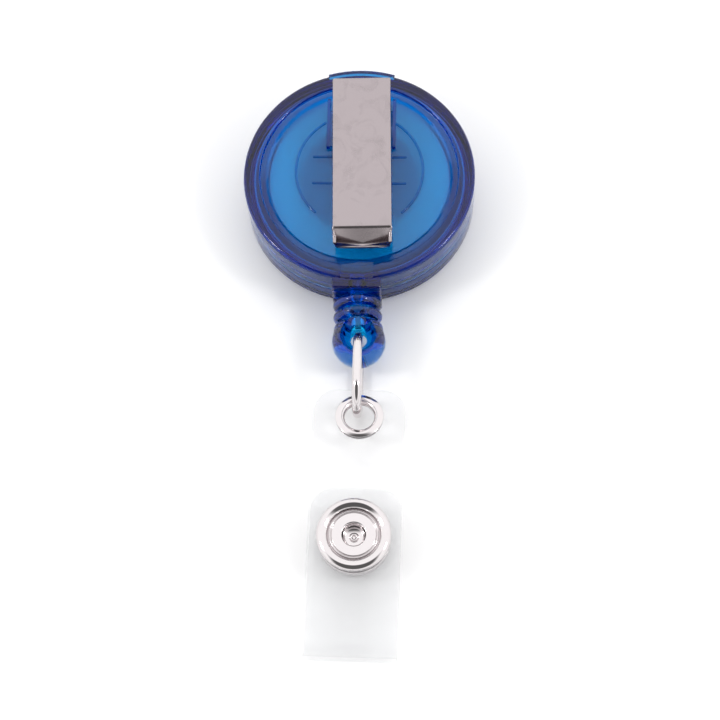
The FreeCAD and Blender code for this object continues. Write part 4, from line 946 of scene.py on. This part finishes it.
def clip_surface():
    """Middle surface M(s, w) with w from -1 to 1 across. In the facet the outer parts stay higher than the
    middle by a smooth step that starts nearer the middle towards the lip, and the lip bows out."""
    line = clip_centre_line()
    corners = rounded([(-1.0, -1.0, 0), (1.0, -1.0, 0), (1.0, 1.0, 0), (-1.0, 1.0, 0)], 1)
    edge = 0.14 / CLIP_HALF
    quarter = np.linspace(0, math.pi / 2, 5)
    near_side = np.linspace(0.78, 1 - edge, 16)
    across = np.concatenate([-near_side[::-1], np.linspace(-0.78, 0.78, 17)[1:-1], near_side])
    count = len(across)
    tip_w = 1 - edge + edge * np.sin(quarter)
    side_n = np.cos(quarter)
    w = np.concatenate([across, tip_w[1:], tip_w[::-1][1:], across[::-1], -tip_w[1:], -tip_w[::-1][1:-1]])
    n = np.concatenate([np.ones(count), side_n[1:], -side_n[::-1][1:], -np.ones(count), -side_n[1:],
                        side_n[::-1][1:-1]])
    n = n * CLIP_THICKNESS / 2
    y, z = line[:, :1], line[:, 1:]
    is_leaf = (z > (CLIP_TOP + CLIP_UNDER) / 2)
    half_width = np.where((y < HEEL_Y - 0.4) & ~is_leaf, TONGUE_HALF, CLIP_HALF)
    dip = np.where(is_leaf, np.clip((CREASE - y) / (CREASE - LIP_START), 0, 1), 0)
    shoulder = 0.985 - 0.125 * dip
    lift = np.clip((np.abs(w) - shoulder) / (0.5 * (1.001 - shoulder)), 0, 1)
    lift = lift * lift * (3 - 2 * lift)
    height = (CLIP_TOP - CLIP_THICKNESS / 2 - z) * 0.7 * lift * (dip > 0)
    bow = 0.22 * dip * (1 - w ** 2) - 0.12 * dip
    point = np.stack([half_width * w, y - bow, z + height], axis=-1)
    along = np.gradient(point, axis=0)
    sideways = np.stack([np.ones_like(w) + 0 * y, 0 * w + 0 * y, 0 * w + 0 * y], axis=-1)
    slope = np.gradient(height, axis=1) / np.where(np.abs(np.gradient(half_width * w, axis=1)) < 1e-6, 1e9,
                                                   np.gradient(half_width * w, axis=1))
    sideways[..., 2] = np.clip(slope, -1.2, 1.2)
    normal = np.cross(along, sideways)
    normal /= np.linalg.norm(normal, axis=-1)[..., None]
    grid = point + normal * n[None, :, None]
    return capped(grid)


clip = surface("belt_clip_strip", clip_surface(), wrap_rows=False)
place(clip, Matrix.Translation((CLIP_SHIFT * MM, 0, 0)) @ Matrix.Rotation(CLIP_TURN, 4, "Z"))
settle(clip, "", ["belt_clip", "belt_clip_leaf"], CLIP_NICKEL)
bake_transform(clip)

# %% [markdown]
# ## Vinyl strap
# The strap is one strip of clear vinyl. From the eyelet it slopes up to its level run, folds back under
# itself and ends beyond the snap, with rounded corners at both ends. It is drawn in its own frame, under
# the eyelet, and then laid with its small lean.
# %% Strap
STRAP_HALF, STRAP_THICKNESS, STRAP_CORNER = 6.15, 0.5, 3.0
STRAP_LEVEL, TAIL_LEVEL, EYELET_SLOPE_START, STRAP_BEND = 4.05, 0.7, 2.4, -5.6
STRAP_MARGIN, FOLD, SNAP, TAIL_END = 4.0, -31.2, -16.95, -9.4
STRAP_SHIFT, STRAP_LEAN = 0.65, math.radians(-1.0)
FOLD_RADIUS = (STRAP_LEVEL - TAIL_LEVEL) / 2
eyelet_low, eyelet_high = (np.array(corner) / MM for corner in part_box("eyelet"))
EYELET_Y = (eyelet_low[1] + eyelet_high[1]) / 2
STRAP_FRAME = (Matrix.Translation((STRAP_SHIFT * MM, EYELET_Y * MM, 0)) @ Matrix.Rotation(STRAP_LEAN, 4, "Z"))


def strap_line():
    """(y, z) of the strap's middle line at even steps: slope, level run, half circle, tail."""
    angle = np.linspace(math.pi / 2, 3 * math.pi / 2, 40)
    front = rounded([(STRAP_MARGIN, EYELET_SLOPE_START, 0), (STRAP_BEND, STRAP_LEVEL, 14.0),
                     (FOLD, STRAP_LEVEL, 0)], 14, closed=False)
    fold = np.stack([FOLD + FOLD_RADIUS * np.cos(angle),
                     (STRAP_LEVEL + TAIL_LEVEL) / 2 + FOLD_RADIUS * np.sin(angle)], axis=-1)
    rough = np.concatenate([front, fold[1:], [[TAIL_END, TAIL_LEVEL]]])
    steps = np.concatenate([[0], np.cumsum(np.linalg.norm(np.diff(rough, axis=0), axis=1))])
    near_end = 3.2 * (1 - np.cos(np.linspace(0, math.pi / 2, 14)))
    even = np.concatenate([near_end, np.arange(3.6, steps[-1] - 3.6, 0.32), steps[-1] - near_end[::-1]])
    return np.stack([np.interp(even, steps, rough[:, column]) for column in (0, 1)], axis=-1), even


def strap_surface():
    """A rounded section carried along the strap's line. Half width = full, less a quarter circle's bite at
    each end for the rounded corners: corner - sqrt(corner^2 - (corner - distance)^2)."""
    line, distance = strap_line()
    length = distance[-1]
    print(f"strap: {2 * STRAP_HALF:.1f} mm by {length:.1f} mm flat")
    from_end = np.minimum(distance, length - distance)
    bite = STRAP_CORNER - np.sqrt(np.clip(STRAP_CORNER ** 2 - np.clip(STRAP_CORNER - from_end, 0, None) ** 2,
                                          0, None))
    half = (STRAP_HALF - bite)[:, None]
    edge = 0.16
    quarter = np.linspace(0, math.pi / 2, 5)
    flat = np.linspace(-1, 1, 21)
    offset = np.concatenate([np.zeros(21), edge * np.sin(quarter[1:]), edge * np.sin(quarter[::-1][1:]),
                             np.zeros(21), -edge * np.sin(quarter[1:]), -edge * np.sin(quarter[::-1][1:-1])])
    base = np.concatenate([flat, np.ones(8), flat[::-1], -np.ones(7)])
    depth = np.concatenate([np.ones(21), np.cos(quarter[1:]), -np.cos(quarter[::-1][1:]), -np.ones(21),
                            -np.cos(quarter[1:]), np.cos(quarter[::-1][1:-1])]) * STRAP_THICKNESS / 2
    tangent = np.gradient(line, distance, axis=0)
    tangent /= np.linalg.norm(tangent, axis=1)[:, None]
    normal = np.stack([tangent[:, 1], -tangent[:, 0]], axis=-1)
    x = (half - edge) * base + offset
    y = line[:, :1] + normal[:, :1] * depth
    z = line[:, 1:] + normal[:, 1:] * depth
    grid = np.stack([x, y, z], axis=-1)
    return capped(grid)


def upright_rod(name, radius, y, low, high, steps=72):
    """A rod along Z that cuts a round hole."""
    rod = turned(name, rounded([(0, low, 0), (radius, low, 0), (radius, high, 0), (0, high, 0)], 1), steps)
    return place(rod, Matrix.Translation((0, y * MM, 0)))


strap = surface("vinyl_strap", strap_surface(), wrap_rows=False)
combine(strap, [upright_rod("eyelet_hole", 2.4, 0, -1, 9), upright_rod("front_snap_hole", 1.65, SNAP, 2, 9),
                upright_rod("tail_snap_hole", 1.0, SNAP, -1, 2)], "DIFFERENCE")
place(strap, STRAP_FRAME)
weigh_normals(strap)
settle(strap, "", ["strap_front", "strap_fold", "strap_tail"], VINYL)
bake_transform(strap)

# %% [markdown]
# ## Eyelet
# The eyelet is a short tube whose two ends are rolled out over the strap. Its outline is the rolled edge
# on top, the flatter one below and the bore between them, and it tilts with the strap's slope.
# %% Eyelet
EYELET_BORE, EYELET_FLANGE = 2.0, 3.25
tilt = math.atan2(STRAP_LEVEL - EYELET_SLOPE_START, STRAP_MARGIN - STRAP_BEND)
eyelet_height = EYELET_SLOPE_START + STRAP_MARGIN * math.tan(tilt)
eyelet_outline = rounded([
    (EYELET_BORE, -0.42, 0.15), (2.35, -0.54, 0.25), (3.1, -0.50, 0.2), (EYELET_FLANGE, -0.27, 0.08),
    (2.35, -0.26, 0.05), (2.33, 0.26, 0.05), (EYELET_FLANGE, 0.26, 0.05), (EYELET_FLANGE, 0.36, 0.12),
    (2.75, 0.56, 0.5), (2.25, 0.5, 0.4), (EYELET_BORE, 0.2, 0.5)], 5)
eyelet = turned("rolled_eyelet", eyelet_outline, 96, sharp=math.radians(60))
place(eyelet, STRAP_FRAME @ Matrix.Translation((0, 0, eyelet_height * MM)) @ Matrix.Rotation(-tilt, 4, "X"))
settle(eyelet, "strap", ["eyelet"], BRIGHT_NICKEL)

# %% [markdown]
# ## Snap fastener
# Five small turned parts make the snap. The cap is a rolled bead round a flat disc, with a deep hole whose
# cone ends in a small nipple. The socket under the strap holds a spring wire, and the stud and its post
# are riveted through the tail.
# %% Snap fastener
STRAP_FACE, STRAP_UNDER = STRAP_LEVEL + STRAP_THICKNESS / 2, STRAP_LEVEL - STRAP_THICKNESS / 2
TAIL_FACE, TAIL_UNDER = TAIL_LEVEL + STRAP_THICKNESS / 2, TAIL_LEVEL - STRAP_THICKNESS / 2


def snap_part(name, corners, height, body, node_name, steps=5, turn_steps=128):
    """A turned part on the snap's axis, at a height in the strap's frame."""
    part = turned(name, rounded(corners, steps), turn_steps, sharp=math.radians(48))
    place(part, STRAP_FRAME @ Matrix.Translation((0, SNAP * MM, height * MM)))
    return settle(part, body, [node_name], BRIGHT_NICKEL)


snap_part("snap_cap_bead", [
    (0, -0.9, 0), (1.6, -0.9, 0.15), (1.6, 0.0, 0.05), (4.1, 0.0, 0.1), (4.95, 0.3, 0.45), (4.95, 1.1, 0.5),
    (4.3, 1.5, 0.55), (3.55, 1.15, 0.45), (3.42, 0.42, 0.12), (3.3, 0.42, 0.1), (3.24, 0.86, 0.1),
    (3.1, 0.86, 0.06), (3.08, 0.66, 0.05), (2.98, 0.66, 0.05), (2.92, 0.85, 0.12), (1.62, 0.85, 0.22),
    (1.36, 0.30, 0.4), (1.28, -0.62, 0.2), (0.62, -0.72, 0.15), (0.5, -0.52, 0.1), (0.32, -0.52, 0.1),
    (0.2, -0.74, 0.05), (0, -0.74, 0)], STRAP_FACE, "strap", "snap_cap")
snap_part("snap_socket_cup", [
    (1.65, 0, 0), (1.65, -0.35, 0.05), (4.4, -0.35, 0.15), (4.4, -1.35, 0.15), (2.2, -1.35, 0.12),
    (2.2, -1.7, 0.12), (4.45, -1.7, 0.35), (4.9, -1.25, 0.3), (4.9, -0.1, 0.1), (4.8, 0, 0.05)],
    STRAP_UNDER, "strap", "snap_socket")
snap_part("snap_stud_button", [
    (1.0, 0, 0), (3.45, 0, 0.1), (3.6, 0.25, 0.15), (3.4, 0.42, 0.12), (3.1, 0.3, 0.1), (1.75, 0.3, 0.2),
    (1.55, 1.3, 0.15), (1.9, 1.65, 0.15), (1.85, 2.0, 0.2), (1.5, 2.2, 0.2), (1.0, 2.2, 0.05)],
    TAIL_FACE, "strap_tail", "snap_stud")
snap_part("snap_post_rivet", [
    (0, -0.22, 0), (0.75, -0.3, 0.2), (1.0, -0.35, 0.1), (4.15, -0.35, 0.25), (4.4, -0.15, 0.15),
    (4.35, 0, 0.05), (0.95, 0, 0.05), (0.95, 2.3, 0.15), (0, 2.3, 0)], TAIL_UNDER, "strap_tail", "snap_post")

# %% Snap spring and the CAD pieces that stay
angle = np.radians(np.linspace(12, 348, 80))
spring_radius = 2.4
wire_path = np.stack([spring_radius * np.cos(angle), SNAP + spring_radius * np.sin(angle),
                      np.full_like(angle, STRAP_UNDER - 1.35 + 0.27)], axis=-1)
snap_wire = carried("snap_wire", wire_path, ellipse(0.25, 0.25, 14), tip=0.1)
place(snap_wire, STRAP_FRAME)
settle(snap_wire, "strap", ["snap_spring"], SPRING_STEEL)
for name in ("cord_anchor_knot", "cord_knot"):
    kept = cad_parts[name]
    for place_in in kept.material_slots:
        place_in.material = BRAID
print("all pieces made")

# %% [markdown]
# ## Floor and light
# A plain white floor and a soft bright surround light everything evenly, as in a light tent. Bright metal
# needs something dark to mirror as well, so the tent has a wide opening on the strap's side, where the
# lens looks in from a darker room.
# %% Floor
floor_material, floor_tree, floor_shader, floor_vector = new_material("white_floor", Roughness=0.9)
floor_skin = add_effect(floor_tree, SKIN, floor_vector, Swell=3.0, Fine=60.0, Grain=0.1)
add_colour(floor_tree, floor_shader, floor_skin.outputs["Height"], (0.97, 0.97, 0.97), (0.99, 0.99, 0.99))
floor = surface("floor", np.stack([*np.meshgrid(np.linspace(-900, 900, 3), np.linspace(-900, 900, 3)),
                                   np.full((3, 3), -0.1)], axis=-1), wrap_rows=False, wrap_columns=False)
if floor.data.polygons[0].normal.z < 0:
    floor.data.flip_normals()
floor.data.materials.append(floor_material)

# %% Light tent
world = bpy.data.worlds.new("light_tent")
bpy.context.scene.world = world
world.use_nodes = True
tent = world.node_tree
tent.nodes.clear()
outward = tent.nodes.new("ShaderNodeTexCoord")
DARK_SIDE = Vector((0.0, -0.574, 0.819)).normalized()
towards_lens = node(tent, "ShaderNodeVectorMath", {1: tuple(DARK_SIDE)}, operation="DOT_PRODUCT")
lens = node(tent, "ShaderNodeMapRange", {"From Min": 0.71, "From Max": 0.88, "To Min": 1.0, "To Max": 0.1},
            interpolation_type="SMOOTHSTEP")
split = node(tent, "ShaderNodeSeparateXYZ")
height = tent.nodes.new("ShaderNodeValToRGB")
stops = height.color_ramp.elements
stops[0].position, stops[0].color = 0.0, (0.9, 0.9, 0.9, 1)
stops[1].position, stops[1].color = 1.0, (1.40, 1.39, 1.40, 1)
for position, value in ((0.25, 1.35), (0.6, 1.38)):
    stop = stops.new(position)
    stop.color = (value, value, value, 1)
shade = node(tent, "ShaderNodeMix", data_type="RGBA", blend_type="MULTIPLY")
shade.inputs["Factor"].default_value = 1.0
glow = node(tent, "ShaderNodeBackground", {"Strength": 1.0})
output = tent.nodes.new("ShaderNodeOutputWorld")
tent.links.new(outward.outputs["Generated"], towards_lens.inputs[0])
tent.links.new(towards_lens.outputs["Value"], lens.inputs["Value"])
tent.links.new(outward.outputs["Generated"], split.inputs[0])
tent.links.new(split.outputs["Z"], height.inputs["Fac"])
tent.links.new(height.outputs["Color"], shade.inputs["A"])
tent.links.new(lens.outputs[0], shade.inputs["B"])
tent.links.new(shade.outputs["Result"], glow.inputs["Color"])
tent.links.new(glow.outputs[0], output.inputs["Surface"])


def soft_box(name, place_mm, size_mm, power):
    """A square area light that faces the middle of the object."""
    light = bpy.data.lights.new(name, "AREA")
    light.energy = power
    light.size = size_mm * MM
    lamp = bpy.data.objects.new(name, light)
    aim = (CAMERA_TARGET - Vector(place_mm) * MM).to_track_quat("-Z", "Y")
    lamp.matrix_world = Matrix.Translation(Vector(place_mm) * MM) @ aim.to_matrix().to_4x4()
    bpy.context.scene.collection.objects.link(lamp)
    return lamp


soft_box("left_box", (-260, -60, 260), 70, 0.25)
soft_box("right_box", (260, -60, 260), 70, 0.25)
bpy.context.scene.view_settings.view_transform = "Standard"
print("floor and light tent set")
